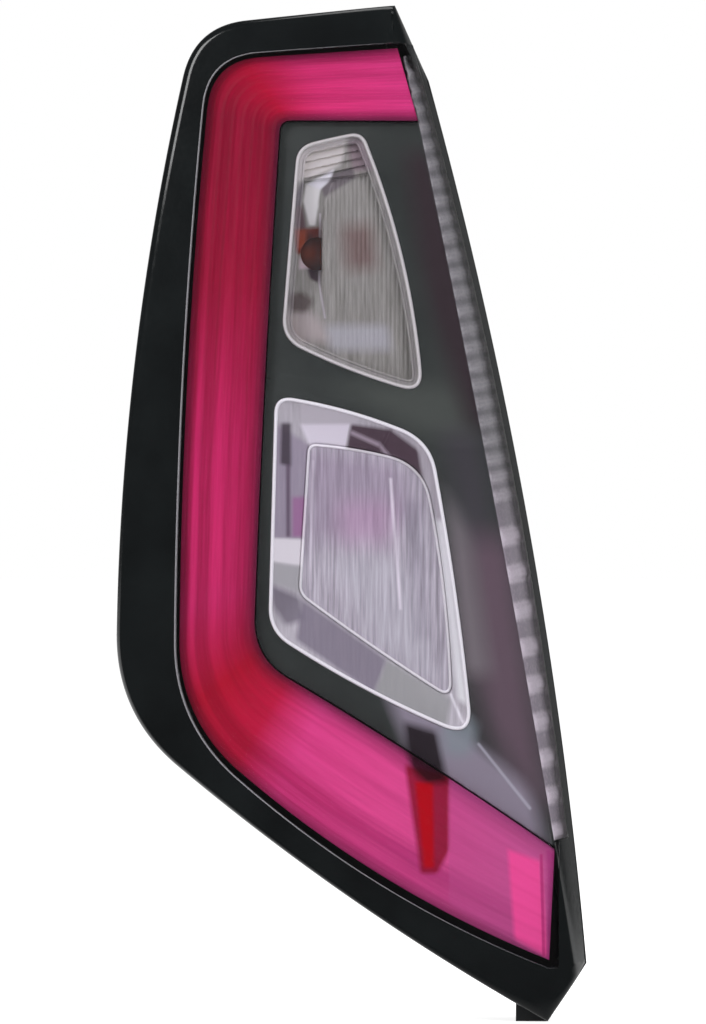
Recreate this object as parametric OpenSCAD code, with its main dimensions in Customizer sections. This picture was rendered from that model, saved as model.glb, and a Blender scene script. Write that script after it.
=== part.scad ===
// Tail light cluster for the left rear pillar of a small hatchback.
// Millimetres, upright as on the car: +Z is up, +X runs to the tailgate and the lens faces -Y.
// The origin is on the axis of the middle stud, where it leaves its boss.
// The lens front is crowned: part of a ring about a level axis far behind the lamp.
// The tailgate side of the lens slopes back as part of a wide cone.

/* [Overall] */
// Width of the lamp, seen from behind the car
lamp_w = 254; // [240:1:270]
// Height of the lamp
lamp_h = 550; // [530:1:575]
// Distance from the stud seats to the front of the lens
lamp_depth = 105; // [102:1:112]
// Distance from the front of the lens back to the plane that it is bonded on
lens_body = 45; // [43:1:48]

/* [Lens and surround] */
// Wall of the lens and its surround
lens_wall = 2.8; // [2.2:0.1:3.2]
// Vertical radius of the crowned front
crown_rv = 1400; // [1300:20:1600]
// Horizontal radius of the crowned front
crown_rh = 520; // [500:10:640]
// Place of the highest point of the crown along X
crown_x = 100; // [85:1:110]
// Place of the highest point of the crown along Z
crown_z = 25; // [10:1:40]
// How far the tailgate flank bulges from a straight line
flank_bow = 11.4; // [9:0.2:13]
// How far the tailgate flank leans inwards for each millimetre of depth
flank_lean = 0.356; // [0.3:0.01:0.4]
// Width of the black edge along the rear of the tailgate flank
flank_edge = 4.3; // [3:0.1:6]

/* [Red light bar] */
// Depth of the ridges of the light bar behind the front of the lens
bar_depth = 6; // [5.5:0.1:7]
// Height of the ridges on the light bar
ridge_h = 1.2; // [0.8:0.1:1.6]
// Ridges side by side along the light bar
ridge_count = 7; // [4:1:9]
// Wall of the light bar lens
bar_wall = 3; // [2.4:0.1:3.4]
// Depth of the edge walls of the light bar lens
bar_edge_h = 12; // [10:0.5:13]

/* [Mask and windows] */
// Depth of the dark mask behind the front of the lens
mask_depth = 12; // [11:0.5:13]
// Wall of the mask
mask_wall = 2.2; // [1.8:0.1:2.6]
// Width of the bright rim round each window
rim_w = 1.8; // [1.5:0.1:2.4]
// How far each bright rim stands in front of the mask
rim_proud = 1; // [0.6:0.1:1.4]
// Depth of the step that the lower window's lens sits on, behind the front of the mask
step_depth = 12; // [10:0.5:13]
// Width of the ledge under the edge of that lens
step_ledge = 1.5; // [1.2:0.1:2]
// How far each reflector bowl rises from its floor to its furthest corner
bowl_rise = 36; // [30:1:40]
// Depth of the bowls' lowest point in front of the stud seats
bowl_floor = 42; // [40:1:45]
// Wall of the bowls
bowl_wall = 2; // [1.6:0.1:2.4]
// Spacing of the upright flutes in the bowls
bowl_flute = 6.8; // [5:0.2:9]
// Depth of the flutes in the bowls
bowl_flute_h = 0.9; // [0.5:0.1:1.2]
// Wall of the fluted window lenses
pane_wall = 1.8; // [1.6:0.1:2.2]
// Spacing of the flutes on the window lenses
pane_flute = 5.2; // [4:0.2:7]
// Height of the flutes on the window lenses
pane_flute_h = 0.8; // [0.5:0.1:1]
// Spacing of the coarse ribs on the mask's flank
rib_pitch = 20; // [17:0.5:22]
// Height of a coarse rib on the mask's flank
rib_h = 8; // [6:0.5:9]
// How far the ribs stand out
rib_proud = 1.4; // [1:0.1:1.6]

/* [Housing] */
// Wall of the rear housing
shell_wall = 2.5; // [2.2:0.1:3]
// Thickness of the flange that the lens is bonded to
flange_t = 3.5; // [3:0.1:4.5]
// Width of that flange
flange_w = 10; // [9:0.5:11]
// Thickness of the bonding bead
bead_t = 2; // [1.5:0.1:2.5]
// Distance from the stud seats to the back of the housing
back_y = 15; // [14:0.5:17]
// Radius of the stud bosses
boss_r = 11; // [10:0.5:13]

/* [Studs] */
// Radius of the studs
stud_r = 3; // [2.5:0.5:4]
// Length of the studs behind the housing
stud_l = 22; // [18:1:26]
// Width across the flats of the stud collar
collar_af = 10; // [9:0.5:13]
// Thickness of the stud collar
collar_t = 4; // [3:0.5:5]
// How deep the plain end of a stud goes into its boss
stud_root = 10; // [8:0.5:12]

/* [Bulb carrier] */
// Thickness of the carrier plate
carrier_t = 2.5; // [2.2:0.1:3]
// Thickness of the gasket under the carrier
gasket_t = 1.5; // [1.2:0.1:2]
// Height of the collar round the carrier opening
collar_h = 5; // [4:0.5:6]
// Radius of the bulb caps
cap_r = 7.5; // [7:0.1:8]
// Length of the bulb caps
cap_l = 17; // [16:0.5:18]
// Radius of the bulb glass
glass_r = 12.5; // [11:0.5:13]
// Wall of the bulb holders
holder_wall = 2.2; // [1.8:0.1:2.6]
// Width of the connector socket inside
plug_w = 26; // [24:1:30]
// Height of the connector socket inside
plug_h = 10; // [9.5:0.5:12]
// Depth of the connector socket
plug_d = 14; // [12:0.5:16]
// Number of connector pins
pin_count = 5; // [4:1:6]

/* [Fits] */
// Gap between parts that sit on each other
seat_gap = 0.2; // [0.15:0.05:0.3]
// Gap round a part in its pocket
fit_gap = 0.15; // [0.1:0.05:0.25]
// Gap between the lens and the mask's flank behind it
flank_gap = 1; // [0.8:0.1:1.5]

/* [Hidden] */
$fn = 64;
fine = 256;
drawn_w = 254;
drawn_h = 550;

front_y = -lamp_depth;
bond_y = front_y + lens_body;
flange_y = bond_y + bead_t;
inner_y = -back_y - shell_wall;

// The lamp's own outline, clockwise from the top left corner, the tailgate side left wide.
// Each row is x, z, how far the rounding reaches along both edges, and how far the edge
// to the next corner bulges outwards.
body_corners = [
    [-19.5, 290, 28, 0],
    [89.1, 300.8, 2, 0],
    [158.7, 145.6, 0, 0],
    [240, -60, 0, 0],
    [215, -187.5, 0, 0],
    [172, -250.5, 5, 7.5],
    [-62, -83, 42, 11.5]
];
// The red light bar, from the end of its upper arm round to the end of its lower arm
bar_outer = [[90.7, 276.5, 0, 0], [-9.5, 270.5, 26, -4.5], [-27, -84, 40, -11.5], [172.8, -216, 0, 0]];
bar_inner = [[101.5, 237.6, 0, 0], [27, 238, 6, -1.2], [12.5, -53, 22, 2], [175.5, -156.6, 0, 0]];
// The two windows in the mask
upper_window = [[36, 224, 9, 0.5], [71.5, 232, 7, 6], [104.5, 89.5, 13, 2.5], [27.5, 119.5, 12, 0]];
lower_window = [[24, 89, 10, 3.5], [108.5, 64, 16, 2], [131.5, -97, 18, 3.5], [20.5, -38.5, 13, 0]];
// The fluted lens of the lower window, set back behind leaning facets
lower_field = [[43, 62, 4, 2], [104, 50, 18, 3], [119, -74, 8, 1], [38, -18, 5, 0]];
// The bulb carrier's plate
carrier_corners = [
    [-16, 128, 12, 0], [26, 196, 14, 0], [66, 196, 12, 0], [70, 120, 14, 0], [96, 30, 14, 0],
    [112, -118, 14, 0], [108, -156, 14, 0], [76, -156, 14, 0], [52, 0, 20, 0], [-16, 84, 14, 0]
];
// Hole for a bulb, and the wall that stays between the indicator's hole and the side of its bowl
bulb_hole_r = glass_r + 1.2;
bulb_margin = 2;
// Middles of the bulbs, the studs, the locating peg, the vent and the reflector legs
indicator_z = at([0, 166])[1];
indicator_at = [left_edge_x(upper_window, indicator_z) + bulb_hole_r + bulb_margin, indicator_z];
reverse_at = at([74, 16]);
tail_at = at([4, 108]);
stop_at = at([92, -132]);
stud_places = [[0, 0], at([40, 262]), at([135, -184])];
peg_at = at([-22, -70]);
vent_at = at([0, 226]);
upper_legs = [at([44, 214]), at([68, 223]), at([92, 99])];
lower_legs = [at([100, 58]), at([121, -78]), at([30, -36])];
bar_legs = [at([60, 256]), at([-6, 196]), at([-7, 30]), at([8, -66]), at([44, -112]), at([150, -176])];
plug_at = at([84, -60]);

peg_r = 4;
carrier_lip = 3.2;
carrier_wall = 2;
latch_w = 9;
peg_l = 10;
leg_r = 4;
screw_r = 1.5;
screw_head_r = 3.2;
screw_head_h = 2;
screw_l = 10;
glass_l = 31;
glass_wall = 0.8;
neck_l = 6;
// Depth of the solid edge behind the lower window's rim
rim_skirt = 5;
// Height of the lowest rib where it starts, and the number of coarse ribs
rib_foot = -132;
rib_count = 8;
// Inset of the flange from the lamp's outline
flange_inset = 0.6;
holder_l = 14;
pin_t = 0.8;
rail_w = 3.6;

// Circle of the tailgate flank on the bonding plane, through two points and its bow
flank_top = at([104.8, 270]);
flank_foot = at([193.3, -218.7]);
flank_chord = norm(flank_foot - flank_top);
flank_r = flank_chord * flank_chord / (8 * flank_bow) + flank_bow / 2;
flank_mid = (flank_top + flank_foot) / 2 - left_of(flank_top, flank_foot) * (flank_r - flank_bow);
// A wall's thickness as it is measured across the cone
lean_share = sqrt(1 + flank_lean * flank_lean);

// Points of outlines
function at(p) = [p[0] * lamp_w / drawn_w, p[1] * lamp_h / drawn_h];
function left_of(a, b) = [a[1] - b[1], b[0] - a[0]] / norm(b - a);
function on_edge(a, b, bow, t) = a + (b - a) * t + left_of(a, b) * 4 * bow * t * (1 - t);
function bend(p, c, q, t) = p * (1 - t) * (1 - t) + c * 2 * t * (1 - t) + q * t * t;
// X of a window's left edge, from its last corner up to its first, at a height
function left_edge_x(c, z) =
    let (low = at(c[3]), high = at(c[0]))
    low[0] + (high[0] - low[0]) * (z - low[1]) / (high[1] - low[1]);
function next(c, i) = (i + 1) % len(c);
function edge_len(c, i) = norm(at(c[next(c, i)]) - at(c[i]));
function edge_at(c, i, t) = on_edge(at(c[i]), at(c[next(c, i)]), c[i][3], t);
function edge_from(c, i) = c[i][2] / edge_len(c, i);
function edge_to(c, i) = 1 - c[next(c, i)][2] / edge_len(c, i);
function edge_points(c, i, steps) =
    let (a = edge_from(c, i), b = edge_to(c, i))
    [for (k = [0 : steps]) edge_at(c, i, a + (b - a) * k / steps)];
function corner_points(c, i, steps) =
    let (last = (i + len(c) - 1) % len(c), p = edge_at(c, last, edge_to(c, last)))
    [for (k = [1 : steps - 1]) bend(p, at(c[i]), edge_at(c, i, edge_from(c, i)), k / steps)];
function edge_steps(c, i) = c[i][3] == 0 ? 1 : 7;
function corner_steps(c, i) = c[i][2] == 0 ? 1 : 7;
// A closed outline with rounded corners and bowed edges. A sharp corner keeps one of its two points.
function outline(c) = [
    for (i = [0 : len(c) - 1])
        each concat(
            corner_points(c, i, corner_steps(c, i)),
            c[i][2] == 0
                ? [for (k = [1 : edge_steps(c, i)]) edge_points(c, i, edge_steps(c, i))[k]]
                : edge_points(c, i, edge_steps(c, i))
        )
];
// An open line with rounded corners and bowed edges
function open_line(c) = concat(
    edge_points(c, 0, 2),
    [for (i = [1 : len(c) - 2]) each concat(corner_points(c, i, 6), edge_points(c, i, 5))]
);
// A line across the light bar's width: 0 is its outer edge and 1 its inner edge
function bar_line(t) =
    let (a = open_line(bar_outer), b = open_line(bar_inner))
    [for (i = [0 : len(a) - 1]) a[i] * (1 - t) + b[i] * t];
function backwards(a) = [for (i = [len(a) - 1 : -1 : 0]) a[i]];

// Flat shapes, drawn in X and Z
module circle_at(p, r) translate(p) circle(r);
module flank_disc(inset) translate(flank_mid) circle(flank_r - inset, $fn = fine);
module wide_body(inset) offset(delta = -inset) polygon(outline(body_corners));
module body_plan(inset) intersection() {
    wide_body(inset);
    flank_disc(inset);
}
module window_plan(corners, inset) offset(delta = -inset) polygon(outline(corners));
module carrier_plan(grow) offset(r = grow) polygon(outline(carrier_corners));
module bar_band(t0, t1) polygon(concat(bar_line(t0), backwards(bar_line(t1))));
module strip(a, b, w) {
    dir = b - a;
    translate(a) rotate(atan2(dir[1], dir[0])) translate([0, -w / 2]) square([norm(dir), w]);
}
// What is clear in the lens: inside the black border, and the flank down to its black edge
module clear_plan() intersection() {
    polygon(concat(
        bar_line(-0.09),
        [at([178, -221]), at([178, -152]), at([240, -140]), at([240, 180]), at([150, 279])]
    ));
    flank_disc(flank_edge);
}
module mask_plan(inset) offset(delta = -inset) polygon(concat(
    bar_line(1.015), [at([190, -158]), at([240, -140]), at([240, 200]), at([110, 237])]
));

// Solids that run along Y
module slab(y0, y1) translate([0, y1, 0]) rotate([90, 0, 0]) linear_extrude(y1 - y0) children();
module rod(p, y0, y1, r) translate([p[0], y1, p[1]]) rotate([90, 0, 0]) cylinder(h = y1 - y0, r = r);
module hex_rod(p, y0, y1, af)
    translate([p[0], y1, p[1]]) rotate([90, 0, 0]) cylinder(h = y1 - y0, r = af / sqrt(3), $fn = 6);
// Ring about the crown's axis, whose section is drawn with the middle of the crown's arc at 0
module about_crown(reach = 15)
    translate([crown_x, front_y + crown_rv, crown_z])
        rotate([0, 90, 0])
            rotate([0, 0, 270 - reach])
                rotate_extrude(angle = 2 * reach, $fn = fine)
                    translate([crown_rv - crown_rh, 0]) children();
// All that lies deeper than a given distance behind the front of the lens
module crown(depth) about_crown() rotate(180) circle(crown_rh - depth, $fn = fine);
// All that lies inside the tailgate flank, less a wall
module flank_cone(inset)
    translate([flank_mid[0], bond_y, flank_mid[1]])
        rotate([90, 0, 0])
            cylinder(
                h = lens_body + 10,
                r1 = flank_r - inset * lean_share,
                r2 = flank_r - inset * lean_share - flank_lean * (lens_body + 10),
                $fn = fine
            );
module lens_block(inset) intersection() {
    slab(front_y - 5, bond_y) wide_body(inset);
    crown(inset);
    flank_cone(inset);
}
module lens_shell() difference() {
    lens_block(0);
    lens_block(lens_wall);
}

module outer_lens() color([0.9, 0.9, 0.92, 0.5]) intersection() {
    lens_shell();
    slab(front_y - 5, bond_y) clear_plan();
}

module lens_surround() color("#17181a") difference() {
    lens_shell();
    slab(front_y - 5, bond_y) clear_plan();
}

// Bead of bonding compound between the lens and the housing's flange
module lens_bead() color("#202224") slab(bond_y, flange_y) difference() {
    body_plan(flange_inset);
    body_plan(flange_inset + lens_wall + 1);
}

// Red C-shaped lens: a crowned band with edge walls and ridges that run along it
module light_bar_lens() color([0.82, 0.1, 0.36]) difference() {
    union() {
        intersection() {
            slab(front_y, bond_y + 8) bar_band(0, 1);
            crown(bar_depth + ridge_h);
        }
        intersection() {
            slab(front_y, bond_y)
                for (k = [0 : ridge_count - 1])
                    bar_band((k + 0.3) / ridge_count, (k + 0.8) / ridge_count);
            crown(bar_depth);
        }
    }
    intersection() {
        slab(front_y - 1, bond_y + 9) bar_band(0.05, 0.95);
        crown(bar_depth + ridge_h + bar_wall);
    }
    crown(bar_depth + ridge_h + bar_edge_h);
}

// Bright trough behind the light bar, with a hole for each of its bulbs
module light_bar_reflector() color("#c9c9cc") {
    top = bar_depth + ridge_h + bar_edge_h + seat_gap;
    difference() {
        intersection() {
            slab(front_y, -bowl_floor) intersection() {
                bar_band(0, 1);
                body_plan(flange_w + shell_wall + fit_gap);
            }
            crown(top);
        }
        intersection() {
            slab(front_y - 1, -bowl_floor - bowl_wall) bar_band(0.05, 0.95);
            crown(top - 1);
        }
        for (p = [tail_at, stop_at]) rod(p, front_y, 0, bulb_hole_r);
    }
    for (p = bar_legs) leg(p, -bowl_floor);
}

// Post on the back of a reflector, bored for its screw
module leg(p, top) difference() {
    rod(p, top, inner_y, leg_r);
    rod(p, inner_y - screw_l, inner_y + 1, screw_r);
}

// Dark mask: a crowned tray between the light bar and the flank, with two windows
module mask() color("#303436") difference() {
    union() {
        difference() {
            mask_block(0);
            mask_block(mask_wall);
        }
        mask_ribs();
    }
    for (w = [upper_window, lower_window])
        slab(front_y - 5, bond_y + 5) window_plan(w, -seat_gap);
}
module mask_block(inset) intersection() {
    slab(front_y - 5, bond_y - seat_gap + (inset > 0 ? 1 : 0)) mask_plan(inset);
    crown(mask_depth + inset);
    flank_cone(lens_wall + flank_gap + rib_proud + inset);
}
// Ribs across the mask's flank: coarse ones low down and finer ones above
module mask_ribs() intersection() {
    difference() {
        flank_cone(lens_wall + flank_gap);
        flank_cone(lens_wall + flank_gap + rib_proud + 0.2);
    }
    crown(mask_depth + 2);
    slab(front_y, bond_y - seat_gap) mask_plan(2);
    union() {
        for (k = [0 : rib_count - 1]) rib(rib_foot + k * rib_pitch, rib_h);
        for (k = [1 : 2 * rib_count + 1]) rib(rib_foot + (rib_count + k / 2) * rib_pitch, rib_h / 2);
    }
}
module rib(z, h)
    translate([at([0, z])[0] + 80, bond_y - lens_body, at([0, z])[1]])
        rotate([0, -10, 0]) cube([130, lens_body, h]);

// Distance from a bulb to the furthest corner of its window, and the ball that meets it there
function reach(corners, bulb) = max([for (c = corners) norm(at(c) - bulb)]);
function ball_r(corners, bulb) =
    let (a = reach(corners, bulb))
    (a * a + bowl_rise * bowl_rise) / (2 * bowl_rise);
module ball(corners, bulb, grow)
    translate([bulb[0], -bowl_floor - ball_r(corners, bulb), bulb[1]])
        sphere(ball_r(corners, bulb) + grow, $fn = fine);
// The same ball with upright flutes, turned about a level axis through its middle
module fluted_ball(corners, bulb) {
    r = ball_r(corners, bulb);
    span = ceil(reach(corners, bulb) / bowl_flute) + 1;
    flute_r = bowl_flute / 2;
    translate([bulb[0], -bowl_floor - r, bulb[1]]) rotate([0, 90, 0]) rotate([0, 0, 45])
        rotate_extrude(angle = 90, $fn = fine) intersection() {
            union() {
                circle(r, $fn = fine);
                for (k = [-span : span])
                    rotate(k * bowl_flute / r * 180 / PI)
                        translate([r + bowl_flute_h - flute_r, 0]) circle(flute_r, $fn = 32);
            }
            translate([r / 2, -r]) square([r, 2 * r]);
        }
}

// Reflector bowl behind a window, with the bright rim that shows in the mask
module bowl(corners, bulb, legs) {
    difference() {
        intersection() {
            slab(front_y, -bowl_floor + bowl_wall) window_plan(corners, 0);
            crown(mask_depth - rim_proud);
            ball(corners, bulb, bowl_wall + bowl_flute_h);
        }
        intersection() {
            slab(front_y - 1, 0) window_plan(corners, rim_w);
            fluted_ball(corners, bulb);
        }
        rod(bulb, front_y, 0, bulb_hole_r);
    }
    difference() {
        for (p = legs) leg(p, -bowl_floor - bowl_rise);
        ball(corners, bulb, bowl_flute_h + bowl_wall / 2);
    }
}
module indicator_reflector() color("#d0d0d4") bowl(upper_window, indicator_at, upper_legs);

// How deep the crown has dropped at a place, and the depths of the step and of the lens pocket below it
function crown_drop(p) =
    pow(p[0] - crown_x, 2) / (2 * crown_rh) + pow(p[1] - crown_z, 2) / (2 * crown_rv);
step_at = mask_depth + step_depth;
pocket_d = pane_wall + pane_flute_h + seat_gap / 2;
module layer(from, to) difference() {
    crown(from);
    crown(to);
}
function edge_mid(c, i) = (at(c[i]) + at(c[next(c, i)])) / 2;
// The side of the window's space that one facet bounds: a plane through an edge of the lens,
// which leans out so that it meets the rim at the mask
module facet_side(i, grow) {
    a = at(lower_field[i]);
    b = at(lower_field[next(lower_field, i)]);
    out = left_of(a, b);
    run = (edge_mid(lower_window, i) - edge_mid(lower_field, i)) * out + lower_window[i][3] - rim_w;
    big = 2 * lamp_h;
    translate([a[0], front_y + step_at + crown_drop(edge_mid(lower_field, i)), a[1]])
        rotate([0, -atan2(b[1] - a[1], b[0] - a[0]), 0]) rotate([-atan2(run, step_depth), 0, 0])
            translate([-big / 2, -big / 2, grow - big]) cube(big);
}
module facets(grow) intersection() {
    facet_side(0, grow);
    facet_side(1, grow);
    facet_side(2, grow);
    facet_side(3, grow);
}
// Lower reflector: rim, four leaning facets, a step for its lens, and the fluted bowl behind it
module reverse_reflector() color("#d6d4d8") difference() {
    union() {
        intersection() {
            slab(front_y, bond_y) window_plan(lower_window, 0);
            union() {
                layer(mask_depth - rim_proud, mask_depth + rim_skirt);
                intersection() {
                    layer(mask_depth, step_at + pocket_d + bowl_wall);
                    facets(bowl_wall);
                }
            }
        }
        intersection() {
            slab(front_y, -bowl_floor + bowl_wall) window_plan(lower_field, -bowl_wall);
            crown(step_at);
            ball(lower_field, reverse_at, bowl_wall + bowl_flute_h);
        }
        for (p = lower_legs) leg(p, front_y + mask_depth + rim_skirt);
    }
    intersection() {
        slab(front_y - 1, bond_y + 10) window_plan(lower_window, rim_w);
        layer(mask_depth - rim_proud - 1, step_at);
        facets(0);
    }
    intersection() {
        slab(front_y, bond_y + 10) window_plan(lower_field, 0);
        layer(step_at - 1, step_at + pocket_d);
    }
    intersection() {
        slab(front_y, 0) window_plan(lower_field, step_ledge);
        crown(step_at - 1);
        fluted_ball(lower_field, reverse_at);
    }
    rod(reverse_at, front_y, 0, bulb_hole_r);
}

// Clear pane with flutes that run down its back, at a depth behind the front of the lens
module pane(corners, inset, depth) intersection() {
    slab(front_y, bond_y + 12) window_plan(corners, inset + fit_gap);
    about_crown() difference() {
        circle(crown_rh - depth, $fn = fine);
        difference() {
            circle(crown_rh - depth - pane_wall, $fn = fine);
            for (k = [-16 : 8])
                translate([pane_radius(k, depth), k * pane_flute])
                    circle(pane_flute / 2, $fn = 32);
        }
    }
}
// Radial place of a flute that stands out by its height from the pane's back
function pane_radius(k, depth) =
    let (r = crown_rh - depth - pane_wall)
    sqrt(r * r - k * k * pane_flute * pane_flute) + pane_flute / 2 - pane_flute_h;
module indicator_pane() color([0.85, 0.85, 0.9, 0.5]) pane(upper_window, rim_w, mask_depth + rim_proud);
module reverse_pane() color([0.85, 0.82, 0.92, 0.5]) pane(lower_field, 0, step_at);

// Rear housing: tub, bonding flange, stud bosses, carrier collar, ribs, peg and vent neck
module rear_housing() color("#26282b") difference() {
    union() {
        slab(flange_y, flange_y + flange_t) body_plan(flange_inset);
        slab(flange_y + 1, -back_y) body_plan(flange_w);
        for (p = stud_places) rod(p, inner_y, 0, boss_r);
        slab(-back_y - 1, -back_y + collar_h) carrier_plan(2);
        rod(peg_at, inner_y, peg_l, peg_r);
        rod(vent_at, -back_y - 1, -back_y + 5, 6);
        back_ribs();
        foot_tab();
    }
    slab(flange_y - 1, inner_y) body_plan(flange_w + shell_wall);
    slab(inner_y - 1, 1) carrier_plan(seat_gap - carrier_lip);
    rod(vent_at, inner_y - 1, 0, 3);
    for (p = stud_places) {
        hex_rod(p, -collar_t, 1, collar_af + 2 * fit_gap);
        rod(p, -collar_t - stud_root - fit_gap, 0, stud_r + fit_gap);
    }
    for (p = concat(upper_legs, lower_legs, bar_legs)) rod(p, inner_y - 1, 0, screw_r + fit_gap);
}
// Ribs that tie the stud bosses to the edge of the tub
module back_ribs() {
    ribs = [
        [at([0, 0]), at([-40, 12])], [at([40, 262]), at([-6, 262])], [at([40, 262]), at([80, 272])],
        [at([135, -184]), at([170, -190])], [at([135, -184]), at([118, -204])],
        [at([104, 190]), at([148, -76])], [at([84, 150]), at([123, 146])], [at([92, 88]), at([135, 82])],
        [at([118, 36]), at([147, 30])], [at([127, -34]), at([159, -40])], [at([132, -110]), at([169, -116])]
    ];
    slab(-back_y - 1, -back_y + 8) for (r = ribs) strip(r[0], r[1], 3);
}
// Locating tab at the foot of the flange
module foot_tab() translate([at([155, 0])[0], flange_y, at([0, -251])[1]]) cube([17, flange_t, 16]);

// Stud with a hexagon collar that sits flush in its boss
module stud(p) {
    rod(p, -collar_t - stud_root, stud_l - 1, stud_r);
    hex_rod(p, -collar_t, 0, collar_af);
    translate([p[0], stud_l, p[1]]) rotate([90, 0, 0]) cylinder(h = 1, r1 = stud_r - 0.8, r2 = stud_r);
}
module middle_stud() color("#b8bcc0") stud(stud_places[0]);
module upper_stud() color("#b8bcc0") stud(stud_places[1]);
module lower_stud() color("#b8bcc0") stud(stud_places[2]);

// Rubber rings round the bosses
module stud_seals() color("#1a1a1a") for (p = stud_places) difference() {
    rod(p, -5, 1.5, boss_r + 3);
    rod(p, -6, 2, boss_r + fit_gap);
}

// Carrier plate with its inner wall, bulb holders, connector socket and latches
module bulb_carrier() color("#d8d8d4") difference() {
    union() {
        slab(carrier_y, carrier_y + carrier_t) carrier_plan(2);
        slab(inner_y, carrier_y + 1) difference() {
            carrier_plan(-carrier_lip);
            carrier_plan(-carrier_lip - carrier_wall);
        }
        for (p = bulb_places) rod(p, carrier_y - holder_l, carrier_y + 1, cap_r + fit_gap + holder_wall);
        translate([plug_at[0], carrier_y + 1, plug_at[1]]) plug_block(plug_w + 4, plug_h + 4, plug_d + 1);
        latches();
    }
    for (p = bulb_places) rod(p, carrier_y - holder_l - 1, carrier_y + carrier_t - 1.5, cap_r + fit_gap);
    translate([plug_at[0], carrier_y + carrier_t, plug_at[1]]) plug_block(plug_w, plug_h, plug_d + 1);
    for (k = [0 : pin_count - 1]) pin_block(k, fit_gap / 2);
}
carrier_y = -back_y + collar_h + gasket_t;
bulb_places = [indicator_at, reverse_at, tail_at, stop_at];
latch_places = [at([46, 198]), at([92, -158]), at([-18, 106]), at([82, 78])];
module plug_block(w, h, d) translate([-w / 2, 0, -h / 2]) cube([w, d, h]);
// Arms that snap down beside the collar
module latches() intersection() {
    union() {
        slab(carrier_y - 3.5, carrier_y + carrier_t) difference() {
            carrier_plan(4.5);
            carrier_plan(2 + fit_gap);
        }
        slab(carrier_y, carrier_y + carrier_t) carrier_plan(3);
    }
    for (p = latch_places)
        translate([p[0] - latch_w / 2, -back_y, p[1] - latch_w / 2]) cube([latch_w, back_y, latch_w]);
}

// Blades in the connector socket
module pin_block(k, grow)
    translate([pin_at(k)[0] - 1.2 - grow, carrier_y - 3, plug_at[1] - pin_t / 2 - grow])
        cube([2.4 + 2 * grow, carrier_t + plug_d - 1, pin_t + 2 * grow]);
module connector_pins() color("#c8a860") for (k = [0 : pin_count - 1]) pin_block(k, 0);

// Seal between the carrier and the collar, and the foam ring that meets the car's panel
module carrier_gasket() color("#202020")
    slab(-back_y + collar_h, carrier_y) difference() {
        carrier_plan(2);
        carrier_plan(-2.5);
    }
module body_gasket() color("#2a2a2c") slab(-back_y, 2) difference() {
    carrier_plan(8.5);
    carrier_plan(5);
}

// Brass strips on the front of the carrier: one feeds each holder, and one earths them all.
// A strip ends at a pin of the connector and at the holders.
function pin_at(k) = plug_at + [(k - (pin_count - 1) / 2) * plug_w / pin_count, 0];
function above_pin(k, x, z) = [pin_at(k)[0] + x, at([0, z])[1]];
tail_route = [pin_at(0), above_pin(0, -12.1, -14), at([44, 30]), at([24, 72]), tail_at];
earth_route = [stop_at, at([82, -96]), pin_at(1), above_pin(1, -11.8, -20), reverse_at, at([52, 84])];
reverse_route = [pin_at(2), above_pin(2, 0, -20), reverse_at];
indicator_route = [
    pin_at(3), above_pin(3, 1.8, -16), at([90, 26]), at([68, 84]), at([60, 130]), indicator_at
];
stop_route = [pin_at(4), at([99, -96]), stop_at];
module route_plan(points) for (k = [0 : len(points) - 2]) {
    strip(points[k], points[k + 1], rail_w);
    circle_at(points[k], rail_w / 2 + 0.3, $fn = 24);
}
module rail() difference() {
    slab(carrier_y - 1, carrier_y) difference() {
        intersection() {
            children();
            carrier_plan(-carrier_lip - carrier_wall - fit_gap);
        }
        for (p = bulb_places) circle_at(p, cap_r + 2 * fit_gap + holder_wall);
    }
    for (k = [0 : pin_count - 1]) pin_block(k, fit_gap / 2);
}
module tail_feed() color("#c8a860") rail() route_plan(tail_route);
module reverse_feed() color("#c8a860") rail() route_plan(reverse_route);
module indicator_feed() color("#c8a860") rail() route_plan(indicator_route);
module stop_feed() color("#c8a860") rail() route_plan(stop_route);
module earth_rail() color("#c8a860") rail() difference() {
    union() {
        route_plan(earth_route);
        route_plan([earth_route[5], at([42, 122]), indicator_at]);
        route_plan([earth_route[5], tail_at]);
        for (p = bulb_places) circle_at(p, cap_r + holder_wall + 3);
    }
    for (r = [tail_route, reverse_route, indicator_route, stop_route]) offset(delta = 1) route_plan(r);
}

// Bulb: a cap with two side pins, and a glass with its neck inside the cap
cap_y = carrier_y + carrier_t - 1.5;
module bulb_cap(p) difference() {
    union() {
        rod(p, cap_y - cap_l, cap_y - 0.5, cap_r);
        rod(p, cap_y - 0.5, cap_y, 3);
    }
    rod(p, cap_y - cap_l - 1, cap_y - 3, cap_r - 0.6);
}
module bulb_glass(p)
    translate([p[0], cap_y - cap_l + neck_l, p[1]]) rotate([90, 0, 0]) rotate_extrude()
        intersection() {
            difference() {
                glass_form(0);
                glass_form(-glass_wall);
            }
            square([glass_r + 1, glass_l + neck_l + 1]);
        }
module glass_form(grow) {
    neck_r = cap_r - 0.6 - fit_gap + grow;
    translate([0, glass_l + neck_l - glass_r]) circle(glass_r + grow);
    translate([-neck_r, -1]) square([2 * neck_r, glass_l + neck_l - glass_r + 1]);
}
module filament(p) {
    tip_y = cap_y - cap_l - glass_l + glass_r;
    rod(p, cap_y - cap_l - 6, cap_y - 3, 3);
    for (s = [-1, 1]) rod([p[0] + s * 2, p[1]], tip_y - 0.5, cap_y - cap_l - 5, 0.4);
    translate([p[0] - 3, tip_y, p[1]]) rotate([0, 90, 0]) cylinder(h = 6, r = 0.7);
}
module indicator_bulb_cap() color("#c9b27a") bulb_cap(indicator_at);
module indicator_bulb_glass() color([0.9, 0.45, 0.1, 0.7]) bulb_glass(indicator_at);
module indicator_bulb_filament() color("#8a8a8a") filament(indicator_at);
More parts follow.
